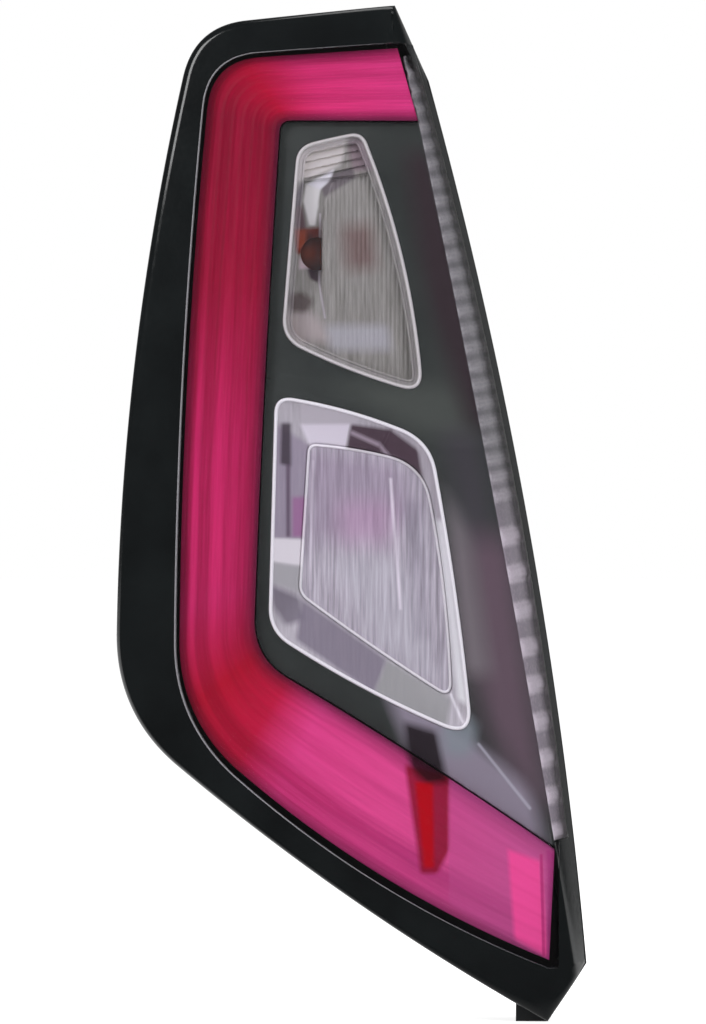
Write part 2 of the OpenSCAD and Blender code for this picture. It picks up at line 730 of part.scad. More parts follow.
module reverse_bulb_cap() color("#c9b27a") bulb_cap(reverse_at);
module reverse_bulb_glass() color([0.9, 0.9, 0.95, 0.6]) bulb_glass(reverse_at);
module reverse_bulb_filament() color("#8a8a8a") filament(reverse_at);
module tail_bulb_cap() color("#c9b27a") bulb_cap(tail_at);
module tail_bulb_glass() color([0.9, 0.9, 0.95, 0.6]) bulb_glass(tail_at);
module stop_bulb_cap() color("#c9b27a") bulb_cap(stop_at);
module stop_bulb_glass() color([0.9, 0.9, 0.95, 0.6]) bulb_glass(stop_at);

// Breathing cap on the vent neck
module vent_cap() color("#3a3c40") difference() {
    rod(vent_at, -back_y + 1, -back_y + 7, 8);
    rod(vent_at, -back_y, -back_y + 5 + seat_gap, 6 + fit_gap);
    for (a = [0, 90]) translate([vent_at[0], 0, vent_at[1]]) rotate([0, a, 0])
        translate([-9, -back_y, -1]) cube([18, 2.5, 2]);
}

// Screws that hold the three reflectors, put in from behind
module reflector_screws() color("#9a9ea2")
    for (p = concat(upper_legs, lower_legs, bar_legs)) {
        rod(p, inner_y - screw_l + 1, -back_y, screw_r - fit_gap / 2);
        rod(p, -back_y, -back_y + screw_head_h, screw_head_r);
    }

rear_housing();
lens_bead();
lens_surround();
outer_lens();
light_bar_lens();
light_bar_reflector();
mask();
indicator_reflector();
indicator_pane();
reverse_reflector();
reverse_pane();
bulb_carrier();
carrier_gasket();
body_gasket();
connector_pins();
middle_stud();
upper_stud();
lower_stud();
stud_seals();
vent_cap();
reflector_screws();
indicator_bulb_cap();
indicator_bulb_glass();
indicator_bulb_filament();
reverse_bulb_cap();
reverse_bulb_glass();
reverse_bulb_filament();
tail_bulb_cap();
tail_bulb_glass();
stop_bulb_cap();
stop_bulb_glass();
earth_rail();
tail_feed();
reverse_feed();
indicator_feed();
stop_feed();
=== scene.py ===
import bmesh
import bpy
import numpy as np
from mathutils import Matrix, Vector


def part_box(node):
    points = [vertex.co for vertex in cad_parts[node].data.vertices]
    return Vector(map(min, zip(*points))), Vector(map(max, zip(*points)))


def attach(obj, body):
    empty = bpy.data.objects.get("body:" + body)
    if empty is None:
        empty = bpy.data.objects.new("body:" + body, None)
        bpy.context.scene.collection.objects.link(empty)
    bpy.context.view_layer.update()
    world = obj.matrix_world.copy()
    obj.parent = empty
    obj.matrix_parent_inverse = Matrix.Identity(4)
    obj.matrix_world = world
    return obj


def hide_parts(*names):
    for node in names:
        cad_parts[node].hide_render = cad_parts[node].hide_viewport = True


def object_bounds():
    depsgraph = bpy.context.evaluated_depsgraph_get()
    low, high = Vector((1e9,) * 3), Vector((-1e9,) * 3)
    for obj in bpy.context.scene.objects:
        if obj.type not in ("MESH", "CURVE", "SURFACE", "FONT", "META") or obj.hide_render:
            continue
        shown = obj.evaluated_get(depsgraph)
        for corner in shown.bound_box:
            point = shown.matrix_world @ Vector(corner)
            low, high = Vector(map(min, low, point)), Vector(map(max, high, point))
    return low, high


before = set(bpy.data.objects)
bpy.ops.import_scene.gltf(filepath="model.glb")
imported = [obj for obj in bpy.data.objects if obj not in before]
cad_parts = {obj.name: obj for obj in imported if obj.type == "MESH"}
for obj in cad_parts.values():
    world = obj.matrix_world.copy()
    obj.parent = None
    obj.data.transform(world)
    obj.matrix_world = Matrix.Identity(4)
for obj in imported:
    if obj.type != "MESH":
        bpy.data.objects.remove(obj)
cad_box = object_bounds()

# Shapes are worked out in millimetres, in the frame of the CAD model, and go into the meshes in metres.
METRE = 1000.0


def cad_mm(name):
    """Lowest and highest corner of a CAD node in millimetres."""
    return [np.array(corner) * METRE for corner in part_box(name)]


# Depths that the CAD model fixes
FRONT_Y = cad_mm("outer_lens")[0][1]
BOND_Y = cad_mm("lens_surround")[1][1]
LENS_WALL = 2.8
# The crowned front is part of a ring about a level axis
CROWN_RV, CROWN_RH = 1400.0, 520.0
CROWN_X, CROWN_Z = 100.0, 25.0
# The tailgate flank is part of a cone
FLANK_TOP, FLANK_FOOT = np.array([104.8, 270.0]), np.array([193.3, -218.7])
FLANK_BOW, FLANK_LEAN = 11.4, 0.356
LEAN_SHARE = np.hypot(1, FLANK_LEAN)
# Radius of the rounded outer edge of the lens and how softly the front turns into the flank
EDGE_R, RIDGE_SOFT = 4.0, 9.0
# How far the black part reaches under the clear one, its gap to it there, and its wall
LIP, LIP_GAP, LIP_WALL = 0.5, 0.1, 0.4
# Edge of the clear part: its share of the bar's width outside the bar, how far it is inside the flank's
# circle, the heights of its two ends on the flank, and its two corners beside the bar's foot
BAR_GAP, FLANK_EDGE = 0.09, 3.2
CLEAR_TOP, CLEAR_LOW, CLEAR_STEP, CLEAR_FOOT = 279.4, -151.0, (178, -152), (178, -221)
# The clear part is this much of its hole's width
CLEAR_SHARE = 0.999
# Heights on the body's own tailgate edge: its upper and its lower end, and where it runs down the black foot
NOTCH, BODY_FOOT, TURN = 260.0, -219.1, -172.0
# Light bar: depth of its ridges' tops behind the lens, their full height, their number, the height that
# shows, its wall, the depth of its side walls, and the share of its width by which it covers the trough's edge
BAR_DEPTH, RIDGE_H, RIDGES, RIDGE_SHOWN = 6.0, 1.2, 7, 0.35
BAR_WALL, BAR_EDGE, BAR_OVER = 3.0, 12.0, 0.018
# On each of its ridges, the share of the width where it starts to rise and how much of the width it takes
RIDGE_START, RIDGE_SHARE = 0.2, 0.7
# Mask: depth of its front behind the lens, of the walls round its windows and at its edge, and its wall
MASK_DEPTH, MASK_LIP, MASK_SIDE, MASK_WALL = 12.0, 4.0, 10.0, 1.2
# Windows: their rim's width, its height and how far it is let in, the depth of its skirt, and the gap round it
RIM_W, RIM_PROUD, RIM_SUNK, SKIRT, WINDOW_GAP = 2.0, 1.3, 0.2, 8.0, 0.2
# The mask: its share of the bar's width beside the bar, the heights of its front's upper edge and of its
# flank's two ends, and on the flank the gap to the lens, its ribs, its flange and the gap to the bar's end
MASK_GAP, MASK_TOP, FLANK_HIGH, FLANK_LOW = 0.015, 236.5, 273.0, -152.0
FLANK_GAP, RIB_PROUD, FLANK_FLANGE, BAR_END_GAP = 1.0, 1.4, 2.0, 1.2
# The metallised sheets
SHEET = ("SOLIDIFY", {"thickness": 1.0 / METRE, "offset": -1.0})

# Outlines. Each row is x, z, how far the rounding reaches along both edges, and how far the
# edge to the next corner bulges to the left of its direction.
BAR_OUTER = [(90.7, 276.5, 0, 0), (-9.5, 270.5, 26, -4.5), (-27, -84, 40, -11.5), (172.8, -216, 0, 0)]
BAR_INNER = [(101.5, 237.6, 0, 0), (27, 238, 6, -1.2), (12.5, -53, 22, 2), (175.5, -156.6, 0, 0)]
BODY_FRAME = [(89.1, 300.6, 0, 0), (-19.5, 290, 28, -11.5), (-62, -83, 42, -7.5), (172, -250.5, 0, 0)]
UPPER_WINDOW = [(36, 224, 9, 0.5), (71.5, 232, 7, 6), (104.5, 89.5, 13, 2.5), (27.5, 119.5, 12, 0)]
LOWER_WINDOW = [(24, 89, 10, 3.5), (108.5, 64, 16, 2), (131.5, -97, 18, 3.5), (20.5, -38.5, 13, 0)]


def left_of(a, b):
    """Unit vector that points left of the way from a to b, with z up and x to the right."""
    way = b - a
    return np.array([-way[1], way[0]]) / np.hypot(*way)


def edge_curve(a, b, bow, start, end, steps):
    """Points on a parabola from a to b that stands bow off the straight line at its middle."""
    t = np.linspace(start, end, steps + 1)[:, None]
    return a + (b - a) * t + left_of(a, b) * 4 * bow * t * (1 - t)


def corner_curve(p, c, q, steps):
    """Points between p and q on the quadratic curve whose tangents meet at c."""
    t = np.linspace(0, 1, steps + 1)[1:-1, None]
    return p * (1 - t) ** 2 + c * 2 * t * (1 - t) + q * t**2


def edges_of(rows, closed, steps):
    """The bowed edges of an outline, each cut back by the rounding at its two ends."""
    count = len(rows) if closed else len(rows) - 1
    edges = []
    for i in range(count):
        a, b = np.array(rows[i][:2], float), np.array(rows[(i + 1) % len(rows)][:2], float)
        length = np.hypot(*(b - a))
        start = rows[i][2] / length
        end = 1 - rows[(i + 1) % len(rows)][2] / length
        edges.append(edge_curve(a, b, rows[i][3], start, end, steps))
    return edges


def outline(rows, steps=24, corner_steps=16):
    """A closed outline with the same number of points on each edge and in each corner.
    It starts in the middle of the first corner's rounding."""
    edges = edges_of(rows, True, steps)
    points = []
    for i, row in enumerate(rows):
        corner = corner_curve(edges[i - 1][-1], np.array(row[:2], float), edges[i][0], corner_steps)
        points += [corner, edges[i]]
    return np.roll(np.vstack(points), -(corner_steps // 2 - 1), axis=0)


def open_line(rows, steps=60, corner_steps=30):
    """An open line with rounded corners, the same number of points on each of its stretches."""
    edges = edges_of(rows, False, steps)
    points = [edges[0]]
    for i in range(1, len(edges)):
        points += [corner_curve(edges[i - 1][-1], np.array(rows[i][:2], float), edges[i][0], corner_steps)]
        points += [edges[i]]
    return np.vstack(points)


BAR_OUTER_LINE, BAR_INNER_LINE = open_line(BAR_OUTER), open_line(BAR_INNER)


def bar_line(t):
    """A line across the light bar's width: 0 is its outer edge and 1 its inner edge."""
    return BAR_OUTER_LINE * (1 - t) + BAR_INNER_LINE * t


FLANK_CHORD = np.hypot(*(FLANK_FOOT - FLANK_TOP))
FLANK_R = FLANK_CHORD**2 / (8 * FLANK_BOW) + FLANK_BOW / 2
FLANK_MID = (FLANK_TOP + FLANK_FOOT) / 2 - left_of(FLANK_TOP, FLANK_FOOT) * (FLANK_R - FLANK_BOW)


def flank_x(z, inset=0.0):
    """X of the flank's circle on the bonding plane at height z, moved in by inset."""
    return FLANK_MID[0] + np.sqrt((FLANK_R - inset) ** 2 - (np.asarray(z, float) - FLANK_MID[1]) ** 2)


def flank_arc(z0, z1, steps, inset=0.0):
    """Points on the flank's circle between two heights."""
    z = np.linspace(z0, z1, steps + 1)
    return np.column_stack([flank_x(z, inset), z])


def crown_y(p, depth=0.0):
    """Y of the crowned front: the ring's radius at x, swung about the ring's level axis to height z."""
    ring = CROWN_RV - CROWN_RH + np.sqrt((CROWN_RH - depth) ** 2 - (p[..., 0] - CROWN_X) ** 2)
    return FRONT_Y + CROWN_RV - np.sqrt(ring**2 - (p[..., 1] - CROWN_Z) ** 2)


def cone_y(p, inset=0.0):
    """Y of the flank's cone, whose radius shrinks by the lean for each millimetre towards the front."""
    reach = np.hypot(p[..., 0] - FLANK_MID[0], p[..., 1] - FLANK_MID[1])
    return BOND_Y - (FLANK_R - inset * LEAN_SHARE - reach) / FLANK_LEAN


def lens_y(p, depth=0.0, inset=0.0, soft=RIDGE_SOFT):
    """The deeper of front and flank, with a rounded ridge: half of a + b + sqrt((a - b)^2 + soft^2)."""
    a, b = crown_y(p, depth), cone_y(p, inset)
    return np.minimum(0.5 * (a + b + np.sqrt((a - b) ** 2 + soft**2)), BOND_Y)


def place(p, y):
    """Joins plan points (x, z) and their y into points in space."""
    return np.stack([p[..., 0], np.broadcast_to(y, p[..., 0].shape), p[..., 1]], axis=-1)


def across(a, b, v):
    """A grid of plan points between two lines that have the same number of points."""
    v = np.asarray(v, float)[None, :, None] if np.ndim(v) == 1 else np.asarray(v, float)[..., None]
    return a[:, None, :] * (1 - v) + b[:, None, :] * v


def inward(line):
    """Unit vectors to the left of a closed line at each of its points, lengthened at its corners."""
    before, after = line - np.roll(line, 1, axis=0), np.roll(line, -1, axis=0) - line
    before = before / np.maximum(np.hypot(*before.T), 1e-9)[:, None]
    after = after / np.maximum(np.hypot(*after.T), 1e-9)[:, None]
    both = before + after
    both = both / np.hypot(*both.T)[:, None]
    left = np.column_stack([-both[:, 1], both[:, 0]])
    stretch = 1 / np.maximum(np.abs(-before[:, 1] * left[:, 0] + before[:, 0] * left[:, 1]), 0.6)
    return left * stretch[:, None]


def resample(line, count):
    """The line again with count points at equal distances along it."""
    steps = np.hypot(*np.diff(line, axis=0).T)
    along = np.concatenate([[0], np.cumsum(steps)])
    at = np.linspace(0, along[-1], count)
    return np.column_stack([np.interp(at, along, line[:, 0]), np.interp(at, along, line[:, 1])])


# Grids and meshes
def grid_faces(rows, columns, close_rows=False, close_columns=False, first=0):
    """Quads of a grid whose points are numbered row by row."""
    i = np.arange(rows if close_rows else rows - 1)[:, None]
    j = np.arange(columns if close_columns else columns - 1)[None, :]
    i1, j1 = (i + 1) % rows, (j + 1) % columns
    quads = np.stack([i * columns + j, i * columns + j1, i1 * columns + j1, i1 * columns + j], axis=-1)
    return quads.reshape(-1, 4) + first


def islands(mesh):
    """For each face the lowest number among the faces that it hangs together with, passed on over shared
    edges until nothing changes."""
    edge, total = np.empty(len(mesh.loops), np.int32), np.empty(len(mesh.polygons), np.int32)
    mesh.loops.foreach_get("edge_index", edge)
    mesh.polygons.foreach_get("loop_total", total)
    face = np.repeat(np.arange(len(total)), total)
    order = np.argsort(edge, kind="stable")
    shared = np.nonzero(edge[order][1:] == edge[order][:-1])[0]
    pairs = np.stack([face[order][shared], face[order][shared + 1]])
    label = np.arange(len(total))
    while True:
        low = np.minimum(label[pairs[0]], label[pairs[1]])
        passed = label.copy()
        np.minimum.at(passed, pairs[0], low)
        np.minimum.at(passed, pairs[1], low)
        passed = passed[passed]
        if (passed == label).all():
            return label
        label = passed


def flags(parts, values):
    """One map value for all points of each part."""
    return np.concatenate([np.tile([float(v), 0.0], (p[0][..., 0].size, 1)) for p, v in zip(parts, values)])


def piece(name, parts, replaces=(), mat=None, uv=None, weld=0.02, modifiers=(), crisp=None):
    """Makes one object from grids. Each part is points (rows, columns, 3) in millimetres, two flags that say
    whether its rows and its columns close on themselves, and, where quads are left out, which are kept.
    Doubles are merged, faces without an area are removed and the normals are turned outwards, or to the
    front for an open sheet. Edges sharper than the crisp angle in degrees stay sharp."""
    points, faces, first = [], [], 0
    for grid, close_rows, close_columns, *kept in parts:
        rows, columns = grid.shape[:2]
        points.append(grid.reshape(-1, 3))
        quads = grid_faces(rows, columns, close_rows, close_columns, first)
        faces.append(quads[kept[0]] if kept else quads)
        first += rows * columns
    points, faces = np.vstack(points) / METRE, np.vstack(faces)
    mesh = bpy.data.meshes.new(name)
    mesh.vertices.add(len(points))
    mesh.vertices.foreach_set("co", points.astype(np.float32).ravel())
    mesh.loops.add(faces.size)
    mesh.loops.foreach_set("vertex_index", faces.ravel().astype(np.int32))
    mesh.polygons.add(len(faces))
    mesh.polygons.foreach_set("loop_start", (np.arange(len(faces)) * 4).astype(np.int32))
    if uv is not None:
        layer = mesh.uv_layers.new(name="run")
        layer.data.foreach_set("uv", uv[faces.ravel()].astype(np.float32).ravel())
    mesh.update()
    shape = bmesh.new()
    shape.from_mesh(mesh)
    bmesh.ops.remove_doubles(shape, verts=shape.verts, dist=weld / METRE)
    bmesh.ops.dissolve_degenerate(shape, edges=shape.edges, dist=weld / METRE / 2)
    ends = [e for e in shape.edges if e.is_boundary]
    if ends and not modifiers:
        bmesh.ops.holes_fill(shape, edges=ends, sides=0)
    bmesh.ops.recalc_face_normals(shape, faces=shape.faces)
    shape.to_mesh(mesh)
    if modifiers:
        label, normal = islands(mesh), np.empty(len(mesh.polygons) * 3, np.float32)
        mesh.polygons.foreach_get("normal", normal)
        area = np.empty(len(mesh.polygons), np.float32)
        mesh.polygons.foreach_get("area", area)
        backwards = np.bincount(label, normal[1::3] * area)[label] > 0
        shape.faces.ensure_lookup_table()
        bmesh.ops.reverse_faces(shape, faces=[shape.faces[i] for i in np.nonzero(backwards)[0].tolist()])
        shape.to_mesh(mesh)
    shape.free()
    mesh.polygons.foreach_set("use_smooth", np.ones(len(mesh.polygons), bool))
    if crisp is not None:
        mesh.set_sharp_from_angle(angle=np.radians(crisp))
    made = bpy.data.objects.new(name, mesh)
    bpy.context.scene.collection.objects.link(made)
    if mat is not None:
        mesh.materials.append(mat)
    for kind, settings in modifiers:
        modifier = made.modifiers.new(kind.lower(), kind)
        for key, value in settings.items():
            setattr(modifier, key, value)
    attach(made, "root")
    if replaces:
        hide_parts(*replaces)
    return made


# Materials
def linear(hex_colour):
    """An sRGB hex colour as linear RGBA."""
    c = np.array([int(hex_colour[i : i + 2], 16) for i in (1, 3, 5)]) / 255
    c = np.where(c <= 0.04045, c / 12.92, ((c + 0.055) / 1.055) ** 2.4)
    return (*c.tolist(), 1.0)


def add(tree, kind, inputs=None, **settings):
    """Adds a shader node with its settings. An input's value is a number, a colour, one of another node's
    outputs, or the node itself for the output that its result leaves by."""
    made = tree.nodes.new("ShaderNode" + kind)
    for key, value in settings.items():
        setattr(made, key, value)
    for key, value in (inputs or {}).items():
        if isinstance(value, bpy.types.Node):
            value = value.outputs[2 if getattr(value, "data_type", "") == "RGBA" else 0]
        if isinstance(value, bpy.types.NodeSocket):
            tree.links.new(value, made.inputs[key])
        else:
            made.inputs[key].default_value = linear(value) if isinstance(value, str) else value
    return made


def ramp(tree, value, stops):
    """Colours or grey levels between stops, by a value from 0 to 1."""
    made = add(tree, "ValToRGB", {0: value})
    elements = made.color_ramp.elements
    while len(elements) < len(stops):
        elements.new(1.0)
    for element, (position, colour) in zip(elements, stops):
        element.position = position
        element.color = linear(colour) if isinstance(colour, str) else (colour, colour, colour, 1)
    return made


def noise(tree, where, size, detail=2.0):
    """Noise with clouds about so many millimetres wide."""
    return add(tree, "TexNoise", {"Vector": where, "Scale": METRE / size, "Detail": detail})


def spread(tree, value, low, high, start=0.0, end=1.0):
    """From start to end as the value goes from low to high, and held at both."""
    return add(tree, "MapRange", {0: value, 1: low, 2: high, 3: start, 4: end})


def blend(tree, share, first, second):
    """A colour between two, by the share of the second."""
    return add(tree, "Mix", {"Factor": share, 6: first, 7: second}, data_type="RGBA")


def calc(tree, operation, a, b, clamp=False):
    """Two numbers put together, and held between 0 and 1 if clamp is set."""
    return add(tree, "Math", {0: a, 1: b}, operation=operation, use_clamp=clamp)


def begin(name):
    """A material, its node tree, and the place in Object coordinates that its patterns start from."""
    made = bpy.data.materials.new(name)
    made.use_nodes = True
    made.node_tree.nodes.clear()
    return made, made.node_tree, add(made.node_tree, "TexCoord").outputs["Object"]


def surface(made, kind, inputs):
    """Ends a material with its last shader node, and gives the material back."""
    add(made.node_tree, "OutputMaterial", {0: add(made.node_tree, kind, inputs)})
    return made


def see_through(made, tint, share, dull, ior, rough):
    """Ends a clear material. Light passes with a tint, apart from the share that a dull colour scatters. The
    surface reflects by Fresnel, from within just as from outside, because light isn't bent on its way
    through."""
    tree = made.node_tree
    passing = add(tree, "BsdfTransparent", {"Color": tint})
    scatter = add(tree, "BsdfDiffuse", {"Color": dull})
    body = add(tree, "MixShader", {0: share, 1: passing, 2: scatter})
    within = add(tree, "NewGeometry").outputs["Backfacing"]
    edge = add(tree, "Fresnel", {"IOR": spread(tree, within, 0, 1, ior, 1 / ior)})
    gloss = add(tree, "BsdfAnisotropic", {"Color": "#ffffff", "Roughness": rough})
    return surface(made, "MixShader", {0: edge, 1: body, 2: gloss})


def polished_black_acrylic():
    """Injection-moulded black acrylic: near black and glossy, with faint clouds and a haze of dust."""
    made, tree, where = begin("polished_black_acrylic")
    flow = noise(tree, where, 36, 3.0)
    haze = noise(tree, where, 2.4, 4.0)
    rough = spread(tree, haze, 0.35, 0.75, 0.12, 0.18)
    tone = ramp(tree, flow, [(0.3, "#101213"), (0.75, "#171a1b")])
    return surface(made, "BsdfPrincipled", {
        "Base Color": tone, "Roughness": rough, "IOR": 1.49, "Specular IOR Level": 0.42})


def clear_acrylic():
    """Polished clear acrylic: almost all light passes, and the rest is a sharp reflection by Fresnel, with a
    trace of haze from dust, and a painted highlight: a pale line where it is joined to its black border."""
    made, tree, where = begin("clear_acrylic")
    dust = noise(tree, where, 6.25, 5.0)
    amount = spread(tree, dust, 0.35, 0.8, 0.0005, 0.002)
    run = add(tree, "SeparateXYZ", {0: add(tree, "UVMap", uv_map="run")})
    # Painted highlight: a pale line of scattered colour along the edge by the black border
    pale = spread(tree, run, 0.002, 0.007, 0.3, 0.0)
    amount = calc(tree, "MAXIMUM", amount, pale)
    return see_through(made, "#fbfbfd", amount, "#c8c6cc", 1.45, 0.05)


def inside_of(tree, where, corners, soft):
    """1 inside a convex polygon given clockwise in millimetres of x and z, 0 outside, with a soft border:
    the product over its edges of how far the point is on the inner side."""
    mask = None
    for i in range(len(corners)):
        a, b = np.array(corners[i], float), np.array(corners[(i + 1) % len(corners)], float)
        side = -left_of(a, b)
        dot = add(tree, "VectorMath", {0: where, 1: (side[0], 0, side[1])}, operation="DOT_PRODUCT")
        reach = float(side @ a)
        share = spread(tree, dot.outputs["Value"], (reach - soft / 2) / METRE, (reach + soft / 2) / METRE)
        mask = share if mask is None else calc(tree, "MULTIPLY", mask, share)
    return mask


def painted(tree, base, where, facets):
    """Lays facets over a colour. Each is a hex colour, its strength, the softness of its border in
    millimetres and its corners."""
    for colour, strength, soft, corners in facets:
        mask = inside_of(tree, where, corners, soft)
        amount = calc(tree, "MULTIPLY", mask, strength)
        base = blend(tree, amount, base, colour)
    return base


# The red acrylic along the bar, by the share of its length: its colour in painted shade, and its colour painted
# lit
BAR_SHADED_RED = [
    (0.0, "#a02458"), (0.09, "#941c4a"), (0.125, "#9c0a2c"), (0.16, "#800a28"), (0.3, "#8a0e2e"),
    (0.45, "#981842"), (0.58, "#981844"), (0.65, "#940a28"), (0.7, "#a00e30"), (0.74, "#b82a64"),
    (0.86, "#b83674"), (1.0, "#ae4880"),
]
BAR_LIT_RED = [
    (0.0, "#d83c80"), (0.08, "#dc3474"), (0.125, "#c01238"), (0.16, "#a8183c"), (0.3, "#b41c44"),
    (0.45, "#ce2a68"), (0.58, "#cc2c68"), (0.65, "#b4102e"), (0.7, "#be1840"), (0.74, "#de4488"),
    (0.86, "#e04e90"), (1.0, "#ce629c"),
]
# How much painted light it takes over its width, from the outer to the inner edge, on each arm
TOP_ACROSS = [
    (0.0, 0.0), (0.1, 0.1), (0.2, 0.75), (0.34, 0.5), (0.5, 0.85), (0.64, 0.5), (0.8, 0.9), (0.93, 0.4),
]
SIDE_ACROSS = [
    (0.0, 0.1), (0.09, 0.15), (0.13, 1.0), (0.17, 1.0), (0.22, 0.25), (0.34, 0.3), (0.42, 0.95), (0.5, 0.85),
    (0.56, 0.45), (0.68, 0.55), (0.76, 0.25), (1.0, 0.05),
]
FOOT_ACROSS = [
    (0.0, 0.1), (0.1, 0.3), (0.16, 0.35), (0.22, 0.0), (0.28, 0.1), (0.36, 0.75), (0.48, 0.95), (0.58, 0.7),
    (0.72, 1.0), (0.84, 0.8), (0.94, 0.85), (1.0, 0.3),
]
# The painted light streaks of the long side arm are faint at its top and strong at its foot
SIDE_STRENGTH = [(0.14, 0.3), (0.28, 0.35), (0.4, 0.75), (0.5, 1.0), (0.62, 1.0)]
# Shade at both edges of the bar
EDGE_SHADE = [(0.0, 0.4), (0.04, 0.2), (0.08, 0.0), (0.82, 0.0), (0.92, 0.35), (1.0, 0.8)]
# Painted over the bar's foot: a dark red patch and a red wedge where a divider stands behind the lens, a
# painted
# shadow above them, a paler pink over the foot's end, a bright block of painted light, and two upright lines
BAR_FACETS = [
    ("#8c0824", 0.9, 3.0, [(94.5, -110.7), (118.3, -116.1), (118.3, -157.7), (111.8, -169.6), (103.1, -169.6)]),
    ("#b60012", 0.95, 2.5, [(99.9, -119.9), (109.6, -119.9), (110.2, -166.3), (104.8, -166.3)]),
    ("#1c060c", 0.9, 5.0, [(94, -90.2), (113.4, -94.5), (118.3, -119.9), (105.8, -121), (97.2, -112.3)]),
    ("#bc4c88", 0.5, 1.2, [(118.3, -116.1), (176, -157.7), (176, -218.7), (118.3, -186.3)]),
    ("#f6509a", 0.9, 3.0, [(150.1, -156.6), (167.9, -163.1), (171.7, -214.9), (153.9, -205.2)]),
    ("#b43070", 0.8, 0.7, [(167.4, -159.3), (169, -159.3), (170.6, -214.9), (169, -214.9)]),
    ("#a83478", 0.7, 2.0, [(171.2, -156.6), (177.1, -159.8), (177.1, -220.3), (171.7, -217.1)]),
]


def red_acrylic():
    """Moulded red acrylic over a bright trough, with its light painted on: crimson in painted shade to pink
    where painted lit, long soft painted streaks where its ridges gather light, painted shade at its edges, and
    a divider's painted shadow across its foot."""
    made, tree, where = begin("red_acrylic")
    run = add(tree, "UVMap", uv_map="run")
    shares = add(tree, "SeparateXYZ", {0: run})
    along, width = shares.outputs[0], shares.outputs[1]
    deep = ramp(tree, along, BAR_SHADED_RED)
    bright = ramp(tree, along, BAR_LIT_RED)
    top = ramp(tree, width, TOP_ACROSS)
    side = ramp(tree, width, SIDE_ACROSS)
    foot = ramp(tree, width, FOOT_ACROSS)
    strength = ramp(tree, along, SIDE_STRENGTH)
    side = calc(tree, "MULTIPLY", side, strength)
    to_side = spread(tree, along, 0.1, 0.15)
    to_foot = spread(tree, along, 0.63, 0.7)
    amount = add(tree, "Mix", {"Factor": to_side, 2: top, 3: side})
    amount = add(tree, "Mix", {"Factor": to_foot, 2: amount, 3: foot})
    long_way = add(tree, "Mapping", {"Vector": run, "Scale": (14.0, 34.0, 1.0)})
    streaks = add(tree, "TexNoise", {"Vector": long_way, "Scale": 1.0, "Detail": 4.0})
    sway = spread(tree, streaks, 0.3, 0.7, -0.22, 0.22)
    amount = calc(tree, "ADD", amount, sway, True)
    colour = blend(tree, amount, deep, bright)
    shade = ramp(tree, width, EDGE_SHADE)
    colour = blend(tree, shade, colour, "#35142a")
    colour = painted(tree, colour, where, BAR_FACETS)
    return surface(made, "BsdfPrincipled", {
        "Base Color": colour, "Roughness": 0.45, "IOR": 1.49, "Specular IOR Level": 0.06})


# Tones that the mask shows under the lens, with painted light among them: purple tinges of light thrown from
# the
# red bar, a painted sheen, a painted shadow above the bar's wedge and a painted highlight along its soft crease
MASK_FACETS = [
    ("#4c504b", 0.8, 14.0, [(54, 94.5), (124.2, 94.5), (132.3, 64.8), (113.4, 64.8)]),
    ("#443f46", 0.7, 14.0, [(113.4, 70.2), (133.9, 70.2), (145.8, 0), (129.6, 0)]),
    ("#36282e", 0.9, 14.0, [(94.5, 221.4), (108, 221.4), (145.8, 70.2), (129.6, 70.2), (105.3, 140.4)]),
    ("#68535f", 0.9, 22.0, [(126, 12), (152.3, 12), (173.9, -140.4), (164.7, -137.7), (135, -86.4)]),
    ("#7c7478", 0.75, 12.0, [(117, 34), (128, 20), (141, -62), (126, -62)]),
    ("#968c9a", 0.85, 10.0, [(83.7, -70.2), (119.9, -88.6), (162, -124.2), (173.9, -168), (106, -126)]),
    ("#1c0e16", 0.95, 5.0, [(94, -87.5), (111.8, -92.9), (116.6, -116.1), (105.8, -116.1), (96.1, -109.1)]),
    ("#868e94", 0.8, 8.0, [(113.4, -90.7), (125.3, -82.1), (133.9, -89.6), (129.6, -105.8), (116.6, -105.8)]),
    ("#b0aeb8", 0.8, 1.2, [(133.4, -99.4), (134.5, -98.8), (163.1, -134.5), (162, -135.5)]),
]


def satin_mask_plastic():
    """Moulded dark grey plastic, satin, with a spark-eroded grain of about 0.4 mm. A purple tinge of the red
    bar's light beside it is painted on, and its ribbed flank is a lighter grey, with painted light on its ribs
    and painted shade between them."""
    made, tree, where = begin("satin_mask_plastic")
    flank = add(tree, "SeparateXYZ", {0: add(tree, "UVMap", uv_map="run")})
    grain = noise(tree, where, 0.455)
    cloud = noise(tree, where, 71, 3.0)
    tone = ramp(tree, cloud, [(0.3, "#2e3230"), (0.7, "#3b3f3c")])
    front = painted(tree, tone, where, MASK_FACETS)
    # Painted light and shade on the flank: its ribs' tops lighter and the gaps between them darker, both
    # lighter low down
    mottle = noise(tree, where, 1.92, 3.0)
    rib = spread(tree, mottle, 0.35, 0.7, -0.25, 0.35)
    rib = calc(tree, "ADD", flank.outputs[0], rib, True)
    height = add(tree, "SeparateXYZ", {0: where}).outputs[2]
    low = spread(tree, height, 0.01, 0.06, 1.0, 0.0)
    gap = blend(tree, low, "#7a777a", "#9c929a")
    top = blend(tree, low, "#a8a4a6", "#d8ccd4")
    side = blend(tree, rib, gap, top)
    colour = blend(tree, flank.outputs[1], front, side)
    bump = add(tree, "Bump", {"Strength": 0.2, "Distance": 0.2 / METRE, "Height": grain})
    return surface(made, "BsdfPrincipled", {"Base Color": colour, "Roughness": 0.42, "Normal": bump})
